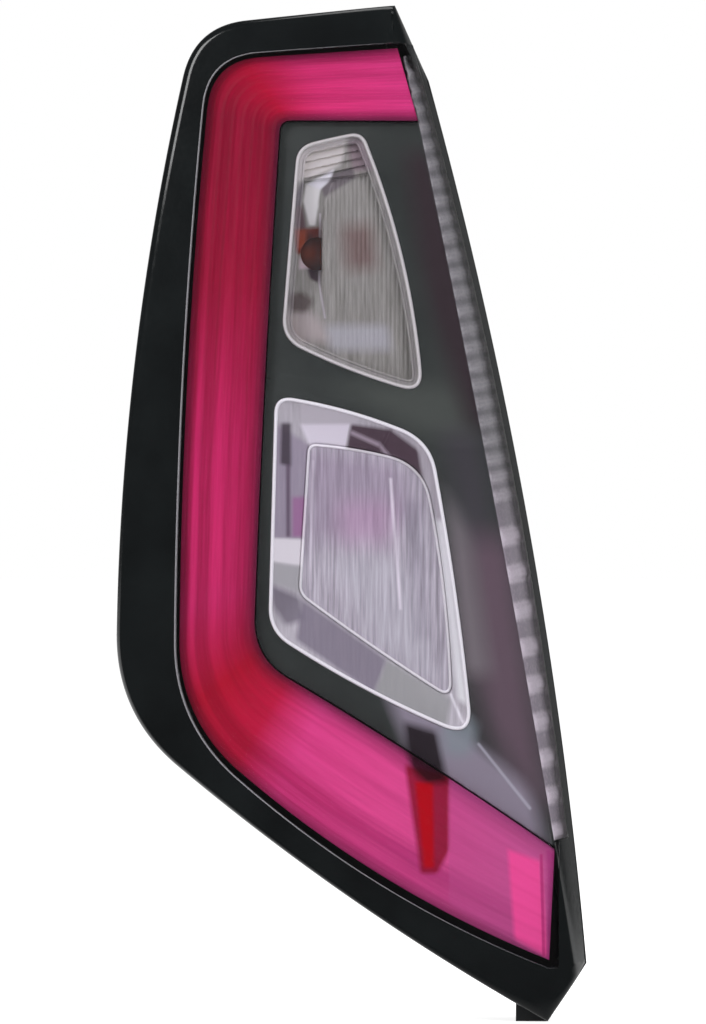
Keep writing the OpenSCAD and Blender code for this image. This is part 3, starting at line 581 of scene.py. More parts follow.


# Painted light and shade in the two windows, laid on as facets: hex colour, strength, softness in mm, corners
# Upper window: the room's light and shade painted as its chamber would mirror it, a light patch over the
# louvres, a
# amber patch painted where the bulb shows
# bright crescent beside the bulb, painted shade below the bulb, pale lines along the raised field's edge, and
# an
UPPER_FACETS = [
    ("#e0d0cc", 0.5, 6.0, [(30, 134), (45, 134), (56, 118), (34, 118)]),
    ("#c4c4c6", 0.8, 6.0, [(51.3, 126.9), (85.3, 126.9), (87.5, 113.4), (54, 113.4)]),
    ("#ece8e0", 0.95, 3.0, [(34.6, 225), (64, 231), (60, 214), (47, 208), (34.6, 204)]),
    ("#6c342c", 0.6, 10.0, [(59.4, 180.9), (76.7, 182.5), (79.9, 157.7), (62.1, 156.6)]),
    ("#9c868c", 0.8, 3.0, [(63.7, 227.9), (74.5, 229), (79.9, 211.7), (65.9, 210.6)]),
    ("#6e6468", 0.8, 2.0, [(47.5, 206.3), (65.9, 212.8), (68, 207.4), (50.8, 196.6)]),
    ("#6c666a", 0.9, 1.5, [(35.6, 199.8), (40, 205.2), (37.8, 191.7), (34.6, 187.9)]),
    ("#ffffff", 1.0, 1.5, [(41, 203.6), (56.2, 211.7), (54, 205.7), (47.5, 199.8)]),
    ("#fffff6", 1.0, 1.5, [(39.4, 194.4), (41, 203.6), (48.6, 200.9), (47, 190.6)]),
    ("#fffff6", 1.0, 1.5, [(39.4, 194.9), (47.5, 192.8), (45.9, 181.4), (42.7, 181.4)]),
    ("#6b4a50", 0.9, 2.0, [(35.1, 191.7), (38.9, 191.7), (41, 179.3), (35.1, 179.3)]),
    ("#7c2408", 1.0, 2.0, [(34.6, 179.3), (48.6, 180.4), (48.6, 166.3), (35.6, 165.8)]),
    ("#b24a1c", 0.8, 2.5, [(35.6, 178.2), (41, 179.3), (41, 169.6), (36.2, 168.5)]),
    ("#4c1408", 0.8, 2.5, [(41.6, 177.1), (44.3, 177.1), (43.7, 165.2), (40.5, 165.2)]),
    ("#341824", 1.0, 2.0, [(39.4, 165.2), (48.1, 167.4), (48.1, 150.1), (43.2, 152.3)]),
    ("#e2ccd0", 0.9, 2.0, [(37.3, 163.6), (42.7, 164.7), (42.7, 158.2), (37.3, 157.7)]),
    ("#55403c", 0.8, 4.0, [(31.3, 142.6), (37.8, 145.8), (45.4, 140.4), (41, 133.9), (31.9, 135)]),
    ("#d8d2d4", 0.8, 0.8, [(48.1, 187.9), (49.1, 187.9), (48.6, 150.1), (47.5, 150.1)]),
    ("#cfc8cc", 0.7, 0.8, [(47.5, 150.1), (48.6, 150.1), (51.8, 130.7), (50.8, 130.7)]),
]
# Lower window: the room's light and shade, painted as its leaning facets would mirror it
LOWER_FACETS = [
    ("#9a8ca0", 0.7, 3.2, [(24.8, 73.4), (43.7, 62.1), (43.7, 10.8), (22.7, 10.8)]),
    ("#c9c2c9", 0.9, 2.7, [(37.8, 85.3), (72.4, 82.1), (68, 71.3), (37.8, 73.4)]),
    ("#ece4ee", 1.0, 2.2, [(37.8, 73.4), (65.3, 73.4), (62.6, 58.9), (44.3, 58.9)]),
    ("#4e3844", 0.95, 2.4, [(65.3, 73.4), (87.5, 70.2), (81, 56.2), (62.6, 58.9)]),
    ("#4e3844", 0.95, 2.4, [(86.4, 70.7), (101.5, 59.4), (105.3, 37.8), (79.9, 56.7)]),
    ("#b4a4b0", 0.9, 2.0, [(65.3, 70.2), (81, 63.2), (80.5, 61), (64.8, 68)]),
    ("#b4a4b0", 0.9, 2.0, [(81, 63.2), (93.4, 48.1), (92.3, 45.9), (80.5, 61)]),
    ("#463c46", 0.9, 2.4, [(27.5, 74), (32.9, 74), (32.9, 50.8), (27, 51.8)]),
    ("#a8649c", 0.7, 2.7, [(33.5, 34), (43.2, 34), (43.2, 12.4), (33.5, 12.4)]),
    ("#584258", 0.8, 2.0, [(30.2, 51.8), (32.4, 51.8), (32.4, 12.4), (30.2, 12.4)]),
    ("#eee8ec", 1.0, 2.0, [(21.6, 11.9), (43.7, 10.8), (42.7, -4.3), (21.6, -1.1)]),
    ("#b4b2b4", 0.9, 3.0, [(21.6, -1.1), (42.7, -4.3), (40.5, -18.4), (21.6, -11.9)]),
    ("#7c7480", 0.9, 4.2, [(21.6, -13), (37.8, -20.5), (40, -32.4), (30.2, -35.6), (22.7, -24.8)]),
    ("#7a7080", 0.8, 3.2, [(38.9, -21.6), (84.8, -54), (77.8, -72.4), (35.6, -43.2)]),
    ("#ffffff", 1.0, 3.7, [(111.2, 21.6), (116.6, 21.6), (128.5, -78.3), (123.1, -75.6)]),
    ("#9a9a98", 0.8, 3.2, [(84.8, -54), (119.9, -75.6), (116.6, -90.7), (77.8, -72.4)]),
]


def metallised(name, dark, light, facets=(), rim_highlight="#fbf7fa"):
    """Vacuum-metallised plastic under a thin lacquer: fine upright streaks, the room's light and shade painted
    as flat facets would mirror it, and a polished rim painted bright as its highlight."""
    made, tree, where = begin(name)
    rim = add(tree, "SeparateXYZ", {0: add(tree, "UVMap", uv_map="run")})
    tall = add(tree, "Mapping", {"Vector": where, "Scale": (METRE / 1.61, 0.0, METRE / 25)})
    streak = add(tree, "TexNoise", {"Vector": tall, "Scale": 1.0, "Detail": 4.0})
    tone = ramp(tree, streak, [(0.3, dark), (0.7, light)])
    colour = painted(tree, tone, where, facets)
    # Painted highlight: the rim and beads blend towards the rim colour by the run map's share
    colour = blend(tree, rim, colour, rim_highlight)
    rough = spread(tree, streak, 0.3, 0.7, 0.34, 0.36)
    return surface(made, "BsdfPrincipled", {"Base Color": colour, "Metallic": 0.1, "Roughness": rough})


# Tones laid over the lower pane's scattered colour, and two pale upright lines painted as highlights, one along
# the field's left edge
PANE_FACETS = [
    ("#a292a4", 0.75, 14.0, [(41, 60.5), (91.8, 52.9), (102.6, 21.6), (41, 8.1)]),
    ("#bf9ab8", 0.6, 14.0, [(58.3, 32.4), (87.5, 32.4), (88.6, 8.1), (58.3, 8.1)]),
    ("#918a96", 0.5, 6.0, [(94, 32.4), (103.7, 32.4), (108, -43.2), (97.2, -43.2)]),
    ("#c4c0c8", 0.6, 12.0, [(54, 0), (91.8, 0), (113.4, -64.8), (83.7, -51.3)]),
    ("#f2e8f2", 0.6, 1.2, [(85.9, 44.3), (87.5, 44.3), (92.9, -27), (91.3, -27)]),
    ("#e0d6e2", 0.5, 1.2, [(44.3, 54), (45.4, 54), (43.7, -16.2), (42.7, -16.2)]),
]


def fluted_acrylic(name, cover, dark, light, facets=()):
    """Clear acrylic with fine upright flutes: the flutes scatter part of the light in pale streaks, and the
    rest passes or glances off by Fresnel."""
    made, tree, where = begin(name)
    tall = add(tree, "Mapping", {"Vector": where, "Scale": (METRE / 1.92, 0.0, METRE / 33.3)})
    streak = add(tree, "TexNoise", {"Vector": tall, "Scale": 1.0, "Detail": 5.0})
    tone = ramp(tree, streak, [(0.32, dark), (0.68, light)])
    colour = painted(tree, tone, where, facets)
    share = spread(tree, streak, 0.3, 0.7, cover * 0.8, min(1.0, cover * 1.2))
    return see_through(made, "#fcfbfd", share, colour, 1.3, 0.08)


def blown_glass(name, tint, cover):
    """Thin blown glass, clear or dipped in lacquer: a tint that deepens in soft clouds, and a sharp glint."""
    made, tree, where = begin(name)
    cloud = noise(tree, where, 11.1)
    share = spread(tree, cloud, 0.3, 0.7, cover * 0.8, cover * 1.2)
    return see_through(made, tint, share, tint, 1.5, 0.04)


def grained(name, dark, light, rough, width=0.556, height=0.12, metallic=0.0):
    """A moulded or cast surface: two close tones in clouds, and a fine grain of the given width and height in
    millimetres."""
    made, tree, where = begin(name)
    grain = noise(tree, where, width)
    cloud = noise(tree, where, 45.5, 4.0)
    tone = ramp(tree, cloud, [(0.3, dark), (0.7, light)])
    bump = add(tree, "Bump", {"Strength": 0.4, "Distance": height / METRE, "Height": grain})
    return surface(made, "BsdfPrincipled", {
        "Base Color": tone, "Roughness": rough, "Normal": bump, "Metallic": metallic})


# The lens: a clear moulding and its black border, one behind the other in the same mould
def on_flank(z, inset=0.0):
    """The plan point of the flank's circle at height z."""
    return np.array([flank_x(z, inset), z])


def clear_rim():
    """The closed edge of the clear part, anticlockwise from its upper tailgate corner, in six stretches."""
    edge = bar_line(-BAR_GAP)
    return [
        np.linspace(on_flank(CLEAR_TOP, FLANK_EDGE), edge[0], 9), edge, np.linspace(edge[-1], CLEAR_FOOT, 7),
        np.linspace(CLEAR_FOOT, CLEAR_STEP, 41), np.linspace(CLEAR_STEP, on_flank(CLEAR_LOW, FLANK_EDGE), 7),
        flank_arc(CLEAR_LOW, CLEAR_TOP, 200, FLANK_EDGE),
    ]


def body_rim():
    """The lamp's own edge in the same six stretches, with the same number of points on each."""
    edge = open_line(BODY_FRAME)
    return [
        np.linspace(on_flank(NOTCH), edge[0], 9), edge, np.linspace(edge[-1], on_flank(BODY_FOOT), 7),
        flank_arc(BODY_FOOT, TURN, 40), flank_arc(TURN, CLEAR_LOW, 6), flank_arc(CLEAR_LOW, NOTCH, 200),
    ]


def joined(stretches):
    """One closed line from stretches that start where the last one ended."""
    return np.vstack([s[:-1] for s in stretches])


def lens_border(mat):
    """The black border: for each point round the rim, a closed section that runs over the front from the
    clear part to the edge, round a quarter circle, down the side, back inside the wall, and ends in a lip
    under the clear part. The quarter circle fades out where the edge runs along the flank."""
    inner, outer = joined(clear_rim()), joined(body_rim())
    normal = inward(outer)
    counts = [len(s) - 1 for s in body_rim()]
    rounded = np.concatenate([np.full(n, w) for n, w in zip(counts, (1, 1, 1, 0, 0, 0))]).astype(float)
    rounded = np.convolve(np.concatenate([rounded[-4:], rounded, rounded[:4]]), np.ones(9) / 9, "valid")
    radius = (EDGE_R * rounded + 0.01)[:, None]
    front = across(inner, outer + normal * radius, np.linspace(0, 1, 41))
    turn = np.radians(np.linspace(0, 90, 9)[1:])
    fillet = outer[:, None] + normal[:, None] * (radius * (1 - np.sin(turn)))[..., None]
    deep = np.minimum(lens_y(fillet) + radius * (1 - np.cos(turn)), BOND_Y)
    foot = np.stack([outer, outer + normal * LENS_WALL], axis=1)
    back = across(inner, outer + normal * LENS_WALL, np.linspace(1, 0, 21))
    tip, under = inner + inward(inner) * LIP, LENS_WALL + LIP_GAP
    lip = ((tip, under + LIP_WALL), (tip, under), (inner, under))
    lip = [place(line, lens_y(line, deep, deep))[:, None] for line, deep in lip]
    section = np.concatenate([
        place(front, lens_y(front)), place(fillet, deep), place(foot, BOND_Y),
        place(back, lens_y(back, LENS_WALL, LENS_WALL)), *lip,
    ], axis=1)
    return piece("lens_border", [(section, True, True)], ["lens_surround"], mat)


def ridge_share(left, right):
    """How far along each line from left to right the front turns into the flank, found by halving."""
    near, far = np.zeros(len(left)), np.ones(len(left))
    for _ in range(30):
        share = (near + far) / 2
        p = left * (1 - share[:, None]) + right * share[:, None]
        on_front = crown_y(p) > cone_y(p)
        near, far = np.where(on_front, share, near), np.where(on_front, far, share)
    return near


def lens_clear(mat):
    """The clear part: ruled from its border side to its tailgate side, with close columns at the ridge. Its map
    holds the share of each line's length."""
    rim = clear_rim()
    left = resample(np.vstack([rim[0], rim[1][1:], rim[2][1:]]), 361)
    right = resample(np.vstack([rim[5][::-1], rim[4][::-1][1:], rim[3][::-1][1:]]), 361)
    middle = (left + right) / 2
    left, right = middle + (left - middle) * CLEAR_SHARE, middle + (right - middle) * CLEAR_SHARE
    ridge = np.clip(ridge_share(left, right), 0.3, 0.96)[:, None]
    before, after = np.linspace(0, 1, 50)[None, :], np.linspace(0, 1, 26)[None, 1:]
    share = np.concatenate([ridge * (1 - (1 - before) ** 2), ridge + (1 - ridge) * after**2], axis=1)
    p = across(left, right, share)
    outside, inside = place(p, lens_y(p)), place(p, lens_y(p, LENS_WALL, LENS_WALL))
    section = np.concatenate([outside, inside[:, ::-1]], axis=1)
    shares = np.concatenate([share, share[:, ::-1]], axis=1)
    uv = np.stack([shares, np.zeros_like(shares)], axis=-1).reshape(-1, 2)
    return piece("lens_clear", [(section, False, True)], ["outer_lens"], mat, uv, crisp=40)


def ridge_height(t):
    """Rounded ridges over the bar's width: half a cosine wave on each, level between them."""
    phase = (t * RIDGES) % 1.0
    rise = np.clip((phase - RIDGE_START) / RIDGE_SHARE, 0, 1)
    return RIDGE_SHOWN * (0.5 - 0.5 * np.cos(2 * np.pi * rise))


def light_bar(mat):
    """The red lens: its section runs up the outer wall, over the ridges and down the inner wall, then back
    one wall deeper. The run map holds the share of its length and of its width."""
    t = np.concatenate([np.full(4, -BAR_OVER), np.linspace(-BAR_OVER, 1, 141), np.ones(4)])
    drop = np.concatenate([np.linspace(BAR_EDGE, 1.0, 4), np.zeros(141), np.linspace(1.0, BAR_EDGE, 4)])
    grid = across(BAR_OUTER_LINE, BAR_INNER_LINE, t)
    proud = np.where(drop > 0, 0.0, ridge_height(t))
    front = np.stack([crown_y(grid[:, k], BAR_DEPTH + RIDGE_H - proud[k]) + drop[k] for k in range(len(t))], 1)
    back_t = np.linspace(0.95, 0.05, 20)
    back_grid = across(BAR_OUTER_LINE, BAR_INNER_LINE, back_t)
    back_drop = np.where((back_t > 0.94) | (back_t < 0.06), BAR_EDGE, BAR_WALL)
    back = np.stack([
        crown_y(back_grid[:, k], BAR_DEPTH + RIDGE_H) + back_drop[k] for k in range(len(back_t))], 1)
    section = np.concatenate([place(grid, front), place(back_grid, back)], axis=1)
    middle = bar_line(0.5)
    along = np.concatenate([[0], np.cumsum(np.hypot(*np.diff(middle, axis=0).T))])
    width = np.concatenate([t, back_t])
    uv = np.stack(np.broadcast_arrays((along / along[-1])[:, None], width[None, :]), axis=-1).reshape(-1, 2)
    return piece("light_bar", [(section, False, True)], ["light_bar_lens"], mat, uv)


# The dark mask
def rays_to(line, centre, angles):
    """Where rays from a centre meet a closed line that is seen whole from it, read off between the line's
    own points."""
    way = line - centre
    turn = np.arctan2(way[:, 1], way[:, 0])
    order = np.argsort(turn)
    turn, way = turn[order], way[order]
    turn = np.concatenate([turn[-1:] - 2 * np.pi, turn, turn[:1] + 2 * np.pi])
    way = np.vstack([way[-1:], way, way[:1]])
    return centre + np.column_stack([np.interp(angles, turn, way[:, 0]), np.interp(angles, turn, way[:, 1])])


def ridge_line(z, depth, inset):
    """Plan points where a surface behind the front meets one inside the flank, found by halving."""
    z = np.asarray(z, float)
    near, far = flank_x(z, 60.0), flank_x(z)
    for _ in range(40):
        x = (near + far) / 2
        p = np.column_stack([x, z])
        on_front = crown_y(p, depth) > cone_y(p, inset)
        near, far = np.where(on_front, x, near), np.where(on_front, far, x)
    return np.column_stack([near, z])


MASK_INSET = LENS_WALL + FLANK_GAP + RIB_PROUD
SPLIT = (np.array([19.0, 100.0]), np.array([140.0, 78.0]))


def mask_halves():
    """The mask's front in two closed outlines, above and below a line between the windows, clockwise, and
    the cut between them."""
    edge = bar_line(1 + MASK_GAP)
    ridge = ridge_line(np.linspace(MASK_TOP, FLANK_LOW, 320), MASK_DEPTH, MASK_INSET)
    high, ridge_high = [(line - SPLIT[0]) @ left_of(*SPLIT) > 0 for line in (edge, ridge)]
    cut = np.linspace((edge[high][-1] + edge[~high][0]) / 2,
                      (ridge[ridge_high][-1] + ridge[~ridge_high][0]) / 2, 40)
    upper = np.vstack([edge[high], cut, ridge[ridge_high][::-1]])
    lower = np.vstack([cut[::-1], edge[~high], ridge[~ridge_high][::-1]])
    return upper, lower, cut


def snapped(line, cut):
    """Moves the points that lie on the cut's straight line to the nearest of the cut's own points."""
    way = cut[-1] - cut[0]
    share = (line - cut[0]) @ way / (way @ way)
    off = np.abs((line - cut[0]) @ left_of(cut[0], cut[-1]))
    near = np.clip(np.round(share * (len(cut) - 1)), 0, len(cut) - 1).astype(int)
    return np.where((off < 0.02)[:, None], cut[near], line)


def ring_between(window, edge, cut, steps):
    """A grid of plan points from a window's outline out to the edge of the mask round it."""
    centre = window.mean(axis=0)
    turns = np.concatenate([np.arctan2(*(line - centre).T[::-1]) for line in (window, edge)])
    turns = np.unique(np.round(turns, 5))
    return across(rays_to(window, centre, turns), snapped(rays_to(edge, centre, turns), cut),
                  np.linspace(0, 1, steps))


def ribs(z, middle, pitch, half, slope):
    """A row of ribs over the height z: 1 on each, and down to 0 at half its width over the slope."""
    off = np.abs((z - middle + pitch / 2) % pitch - pitch / 2)
    return np.clip((half - off) / slope, 0, 1)


# The flank's ribs, by the middle of one of them, their pitch, half width and slope: coarse ones up to a height,
# and finer and lower ones above it
COARSE_RIBS, FINE_RIBS, FINE_FROM, FINE_HEIGHT = (12, 20, 4.16, 2.6), (4, 10, 2.25, 1.5), 28, 0.6


def rib_wave(z):
    """How high the flank's ribs stand at height z, 1 at most."""
    return np.where(z < FINE_FROM, ribs(z, *COARSE_RIBS), FINE_HEIGHT * ribs(z, *FINE_RIBS))


def wall_behind(line, deep):
    """A wall straight back from a line on the mask's front."""
    y = crown_y(line, MASK_DEPTH)
    return np.stack([place(line, y), place(line, y + deep)], 1)


def ribbed_flank():
    """The mask's flank on a cone inside the lens's own, from the ridge back to a narrow flange at the bonding
    plane, with its ribs. It also gives how much of a rib each point shows."""
    z = np.linspace(FLANK_HIGH, FLANK_LOW, 980)
    top = ridge_line(z, MASK_DEPTH, MASK_INSET)
    bar_end = np.interp(z, [BAR_INNER[0][1], BAR_OUTER[0][1]], [BAR_INNER[0][0], BAR_OUTER[0][0]])
    top[:, 0] = np.where(z > MASK_TOP, np.maximum(top[:, 0], bar_end + BAR_END_GAP), top[:, 0])
    way = (top - FLANK_MID) / np.hypot(*(top - FLANK_MID).T)[:, None]
    share = np.linspace(0, 1, 16)
    start = cone_y(top, MASK_INSET)[:, None]
    y = start + (BOND_Y - 0.4 - start) * share
    wave = rib_wave(z)
    lift = RIB_PROUD * wave[:, None] * np.minimum(1, share * 12)
    radius = FLANK_R - MASK_INSET * LEAN_SHARE - FLANK_LEAN * (BOND_Y - y) + lift
    y = np.column_stack([y, y[:, -1]])
    radius = np.column_stack([radius, radius[:, -1] - lift[:, -1] + FLANK_FLANGE])
    shown = np.clip(wave + np.roll(wave, 5) + np.roll(wave, -5), 0, 1)
    return place(FLANK_MID + way[:, None] * radius[..., None], y), np.repeat(shown, y.shape[1])


def mask_tray(mat):
    """The mask: a crowned front with two window openings, short walls at its edges and the ribbed flank,
    which also runs up beside the end of the light bar. Its map holds the height of the ribs and 1 on the
    flank."""
    upper, lower, cut = mask_halves()
    parts = []
    for rows, edge in ((UPPER_WINDOW, upper), (LOWER_WINDOW, lower)):
        ring = ring_between(moved_in(outline(rows), -WINDOW_GAP), edge, cut, 30)
        parts += [(place(ring, crown_y(ring, MASK_DEPTH)), True, False),
                  (wall_behind(ring[:, 0], MASK_LIP), True, False)]
    parts.append((wall_behind(bar_line(1 + MASK_GAP), MASK_SIDE), False, False))
    plain = flags(parts, [0] * len(parts))
    flank, shown = ribbed_flank()
    parts.append((flank, False, False))
    return piece("mask_tray", parts, ["mask"], mat,
                 uv=np.vstack([plain, np.column_stack([shown, np.ones(shown.size)])]),
                 modifiers=[("SOLIDIFY", {"thickness": MASK_WALL / METRE, "offset": -1.0})], crisp=45)


# Windows
def moved_in(line, distance):
    """A clockwise outline moved inwards."""
    return line - inward(line) * distance


def patch(line, rows, columns):
    """A grid inside a closed outline of four rounded corners: its four sides, taken from corner to corner,
    are blended so that opposite sides run into each other."""
    quarter = len(line) // 4
    sides = [np.vstack([line, line[:1]])[k * quarter : (k + 1) * quarter + 1] for k in range(4)]
    top, right = resample(sides[0], columns), resample(sides[1], rows)
    bottom, left = resample(sides[2][::-1], columns), resample(sides[3][::-1], rows)
    s, t = np.linspace(0, 1, columns)[None, :, None], np.linspace(0, 1, rows)[:, None, None]
    ruled = top[None] * (1 - t) + bottom[None] * t + left[:, None] * (1 - s) + right[:, None] * s
    corners = (top[0] * (1 - s) + top[-1] * s) * (1 - t) + (bottom[0] * (1 - s) + bottom[-1] * s) * t
    return ruled - corners


def rim_of(grid):
    """The four sides of a grid as one closed line."""
    return np.concatenate([grid[0, :-1], grid[:-1, -1], grid[-1, :0:-1], grid[:0:-1, 0]])


UPPER_BULB, LOWER_BULB, BULB_HOLE = np.array([47.0, 166.0]), np.array([74.0, 16.0]), 13.7
# The upper chamber behind the mask's front: its floor, how much deeper it is at its bulb and over what reach,
# and the radius of its hole
CHAMBER_DEPTH, CHAMBER_DROP, CHAMBER_REACH, CHAMBER_HOLE = 10.5, 13.0, 14.0, 9.0
# Inside its rim: the inner edge, depth, width and height of the second bead, and the chamber's own edge
BEAD_AT, BEAD_DEPTH, CHAMBER_BEAD, CHAMBER_EDGE = 3.9, 3.0, (1.1, 0.9), 5.2
# Its raised field: its depth, the middle and the rise of its curve, and its edge, which leans over above
# FIELD_BEND
FIELD_DEPTH, FIELD_MIDDLE, FIELD_CURVE = 9.0, 78.0, 0.0022
FIELD_LEFT, FIELD_LEAN, FIELD_BEND, FIELD_RUN = 49.0, 12.0, 176.0, 40.0
# Its louvres: their depth, rise, pitch and tilt, and where the lowest one starts
LOUVRE_DEPTH, LOUVRE_RISE, LOUVRE_PITCH, LOUVRE_TILT, LOUVRE_FOOT = 5.5, 2.4, 4.4, 0.22, 205.0
# Width of the steps between them, and pitch and height of the field's flutes
CHAMBER_STEP, FLUTE, FLUTE_RISE = 0.8, 2.3, 0.5
# The lower window's field, its step, the bead round it, the ledge inside, and the bowl with its flutes
LOWER_FIELD = [(43, 62, 4, 2), (104, 50, 18, 3), (119, -74, 8, 1), (38, -18, 5, 0)]
STEP_DEPTH, BEAD_OUT, BEAD_W, BEAD_RISE = 12.0, 1.1, 1.5, 0.8
LEDGE, LEDGE_DEPTH = 1.5, 2.9
BOWL_FLOOR, BOWL_RISE, BOWL_FLUTE, BOWL_FLUTE_RISE = -42.0, 36.0, 6.8, 0.8


def bowl_y(p, rows, bulb):
    """Y of a bowl: part of a ball that is deepest at the bulb and has risen by BOWL_RISE at the window's
    furthest corner."""
    reach = max(np.hypot(*(np.array(row[:2]) - bulb)) for row in rows)
    ball = (reach**2 + BOWL_RISE**2) / (2 * BOWL_RISE)
    return BOWL_FLOOR - ball + np.sqrt(ball**2 - (p[..., 0] - bulb[0]) ** 2 - (p[..., 1] - bulb[1]) ** 2)


def holed(grid, middle, radius):
    """Moves the points just inside a circle out to it, and says which quads then lie outside the circle."""
    way = grid - middle
    reach = np.hypot(way[..., 0], way[..., 1])[..., None]
    near = (reach < radius) & (reach > radius - 1.1)
    moved = np.where(near, middle + way / np.maximum(reach, 1e-6) * radius, grid)
    inside = np.hypot(*np.moveaxis(moved - middle, -1, 0)) < radius + 0.01
    quads = inside[:-1, :-1] & inside[1:, :-1] & inside[:-1, 1:] & inside[1:, 1:]
    return moved, ~quads.reshape(-1)


def bead(start, width, height, steps=9):
    """Inward distances and heights of a half-round bead."""
    turn = np.radians(np.linspace(0, 180, steps))
    return start + width / 2 * (1 - np.cos(turn)), height * np.sin(turn)


def window_rim(edge):
    """A window's half-round bright rim, with its skirt, and the depth of the mask's front along it."""
    base = crown_y(edge, MASK_DEPTH)
    inset, proud = bead(0, RIM_W, RIM_PROUD)
    rim = [place(moved_in(edge, d), base - h + RIM_SUNK) for d, h in zip(inset, proud)]
    return np.stack([place(edge, base + SKIRT)] + rim, 1), base


def wall_to(line, grid, y):
    """A wall between a closed line and the border of a grid at depths y: each point of the border meets the
    nearest point of the line."""
    border = place(rim_of(grid), rim_of(y[..., None])[:, 0])
    near = np.argmin(((border[:, None, ::2] - line[None, :, ::2]) ** 2).sum(-1), axis=1)
    return np.stack([line[near], border], 1)


def chamber_y(grid):
    """Y of the upper chamber: its floor, deeper by CHAMBER_DROP exp(-(r / CHAMBER_REACH)^2) round its bulb,
    the fluted raised field beside it, and the saw-tooth louvres over both. It also gives how much of the
    field each point shows."""
    x, z = grid[..., 0], grid[..., 1]
    front = crown_y(grid, MASK_DEPTH)
    from_bulb = np.hypot(x - UPPER_BULB[0], z - UPPER_BULB[1])
    floor = front + CHAMBER_DEPTH + CHAMBER_DROP * np.exp(-((from_bulb / CHAMBER_REACH) ** 2))
    flutes = FLUTE_RISE * np.abs(np.sin(np.pi * x / FLUTE))
    field = front + FIELD_DEPTH + FIELD_CURVE * (x - FIELD_MIDDLE) ** 2 - flutes
    edge = FIELD_LEFT + FIELD_LEAN * np.clip((z - FIELD_BEND) / FIELD_RUN, 0, 1) ** 2
    raised = np.clip((x - edge) / CHAMBER_STEP, 0, 1)
    y = floor * (1 - raised) + np.minimum(field, floor) * raised
    over = np.clip((z - LOUVRE_FOOT - 0.1 * (x - 40)) / CHAMBER_STEP, 0, 1)
    tooth = ((z - LOUVRE_TILT * x) / LOUVRE_PITCH) % 1.0
    return y * (1 - over) + (front + LOUVRE_DEPTH + LOUVRE_RISE * tooth) * over, raised


def upper_reflector(mat):
    """Rim, a narrow ledge with a second bead, and behind it the chamber."""
    edge = outline(UPPER_WINDOW)
    rim, base = window_rim(edge)
    inset, proud = bead(BEAD_AT, *CHAMBER_BEAD)
    ledge = [(RIM_W, RIM_SUNK), (RIM_W + 0.5, BEAD_DEPTH - 0.4), (BEAD_AT, BEAD_DEPTH)]
    ledge += list(zip(inset, BEAD_DEPTH - proud)) + [(CHAMBER_EDGE, BEAD_DEPTH + 0.2)]
    ledge = np.stack([place(moved_in(edge, d), base + h) for d, h in ledge], 1)
    grid, kept = holed(patch(moved_in(edge, CHAMBER_EDGE), 260, 150), UPPER_BULB, CHAMBER_HOLE)
    y, raised = chamber_y(grid)
    kept |= (raised[:-1, :-1] > 0).reshape(-1)
    parts = [(rim, True, False), (ledge, True, False), (wall_to(ledge[:, -1], grid, y), True, False),
             (place(grid, y), False, False, kept)]
    # The run map paints the rim fully bright and the ledge with its bead a quarter bright: painted highlights
    return piece("upper_reflector", parts, ["indicator_reflector"], mat,
                 uv=flags(parts, [1, 0.25, 0, 0]), modifiers=[SHEET], crisp=40)


def lower_reflector(mat):
    """Rim, four facets that lean in to a step, a bead round the step, and a fluted bowl behind it."""
    edge, field = outline(LOWER_WINDOW), outline(LOWER_FIELD)
    rim, base = window_rim(edge)
    step = crown_y(field, MASK_DEPTH + STEP_DEPTH)
    outer = moved_in(field, -BEAD_OUT)
    share = np.linspace(0, 1, 12)
    y0, y1 = (base + RIM_SUNK)[:, None], crown_y(outer, MASK_DEPTH + STEP_DEPTH)[:, None]
    facets = place(across(moved_in(edge, RIM_W), outer, share), y0 * (1 - share) + y1 * share)
    inset, proud = bead(0, BEAD_W, BEAD_RISE)
    lip = np.stack([place(moved_in(field, d - BEAD_OUT), step - h - 0.05) for d, h in zip(inset, proud)], 1)
    ledge = [place(line, step + LEDGE_DEPTH) for line in (field, moved_in(field, LEDGE))]
    grid, kept = holed(patch(moved_in(field, LEDGE), 200, 130), LOWER_BULB, BULB_HOLE)
    flutes = BOWL_FLUTE_RISE * np.abs(np.sin(np.pi * grid[..., 0] / BOWL_FLUTE))
    y = bowl_y(grid, LOWER_FIELD, LOWER_BULB) + flutes - BOWL_FLUTE_RISE
    y = np.maximum(y, crown_y(grid, MASK_DEPTH + STEP_DEPTH) + LEDGE_DEPTH + 0.2)
    parts = [(rim, True, False), (facets, True, False), (lip, True, False),
             (np.stack([lip[:, -1]] + ledge, 1), True, False), (wall_to(ledge[1], grid, y), True, False),
             (place(grid, y), False, False, kept)]
    # The run map paints the rim fully bright and the bead round the step at 0.7: painted highlights
    return piece("lower_reflector", parts, ["reverse_reflector"], mat,
                 uv=flags(parts, [1, 0, 0.7, 0, 0, 0]), modifiers=[SHEET], crisp=30)


# The panes' wall and the height of their flutes
PANE_WALL, PANE_FLUTE = 1.8, 0.8


def window_lens(name, line, depth, pitch, node_name, mat):
    """A clear lens: smooth in front, with upright half-round flutes behind, and a flat edge."""
    grid = patch(line, 160, 200)
    front = crown_y(grid, depth)
    back = crown_y(grid, depth + PANE_WALL) + PANE_FLUTE * np.abs(np.sin(np.pi * grid[..., 0] / pitch))
    front, back = place(grid, front), place(grid, back)
    side = np.stack([rim_of(front), rim_of(back)], 1)
    return piece(name, [(front, False, False), (back, False, False), (side, True, False)], [node_name],
                 mat, crisp=40)


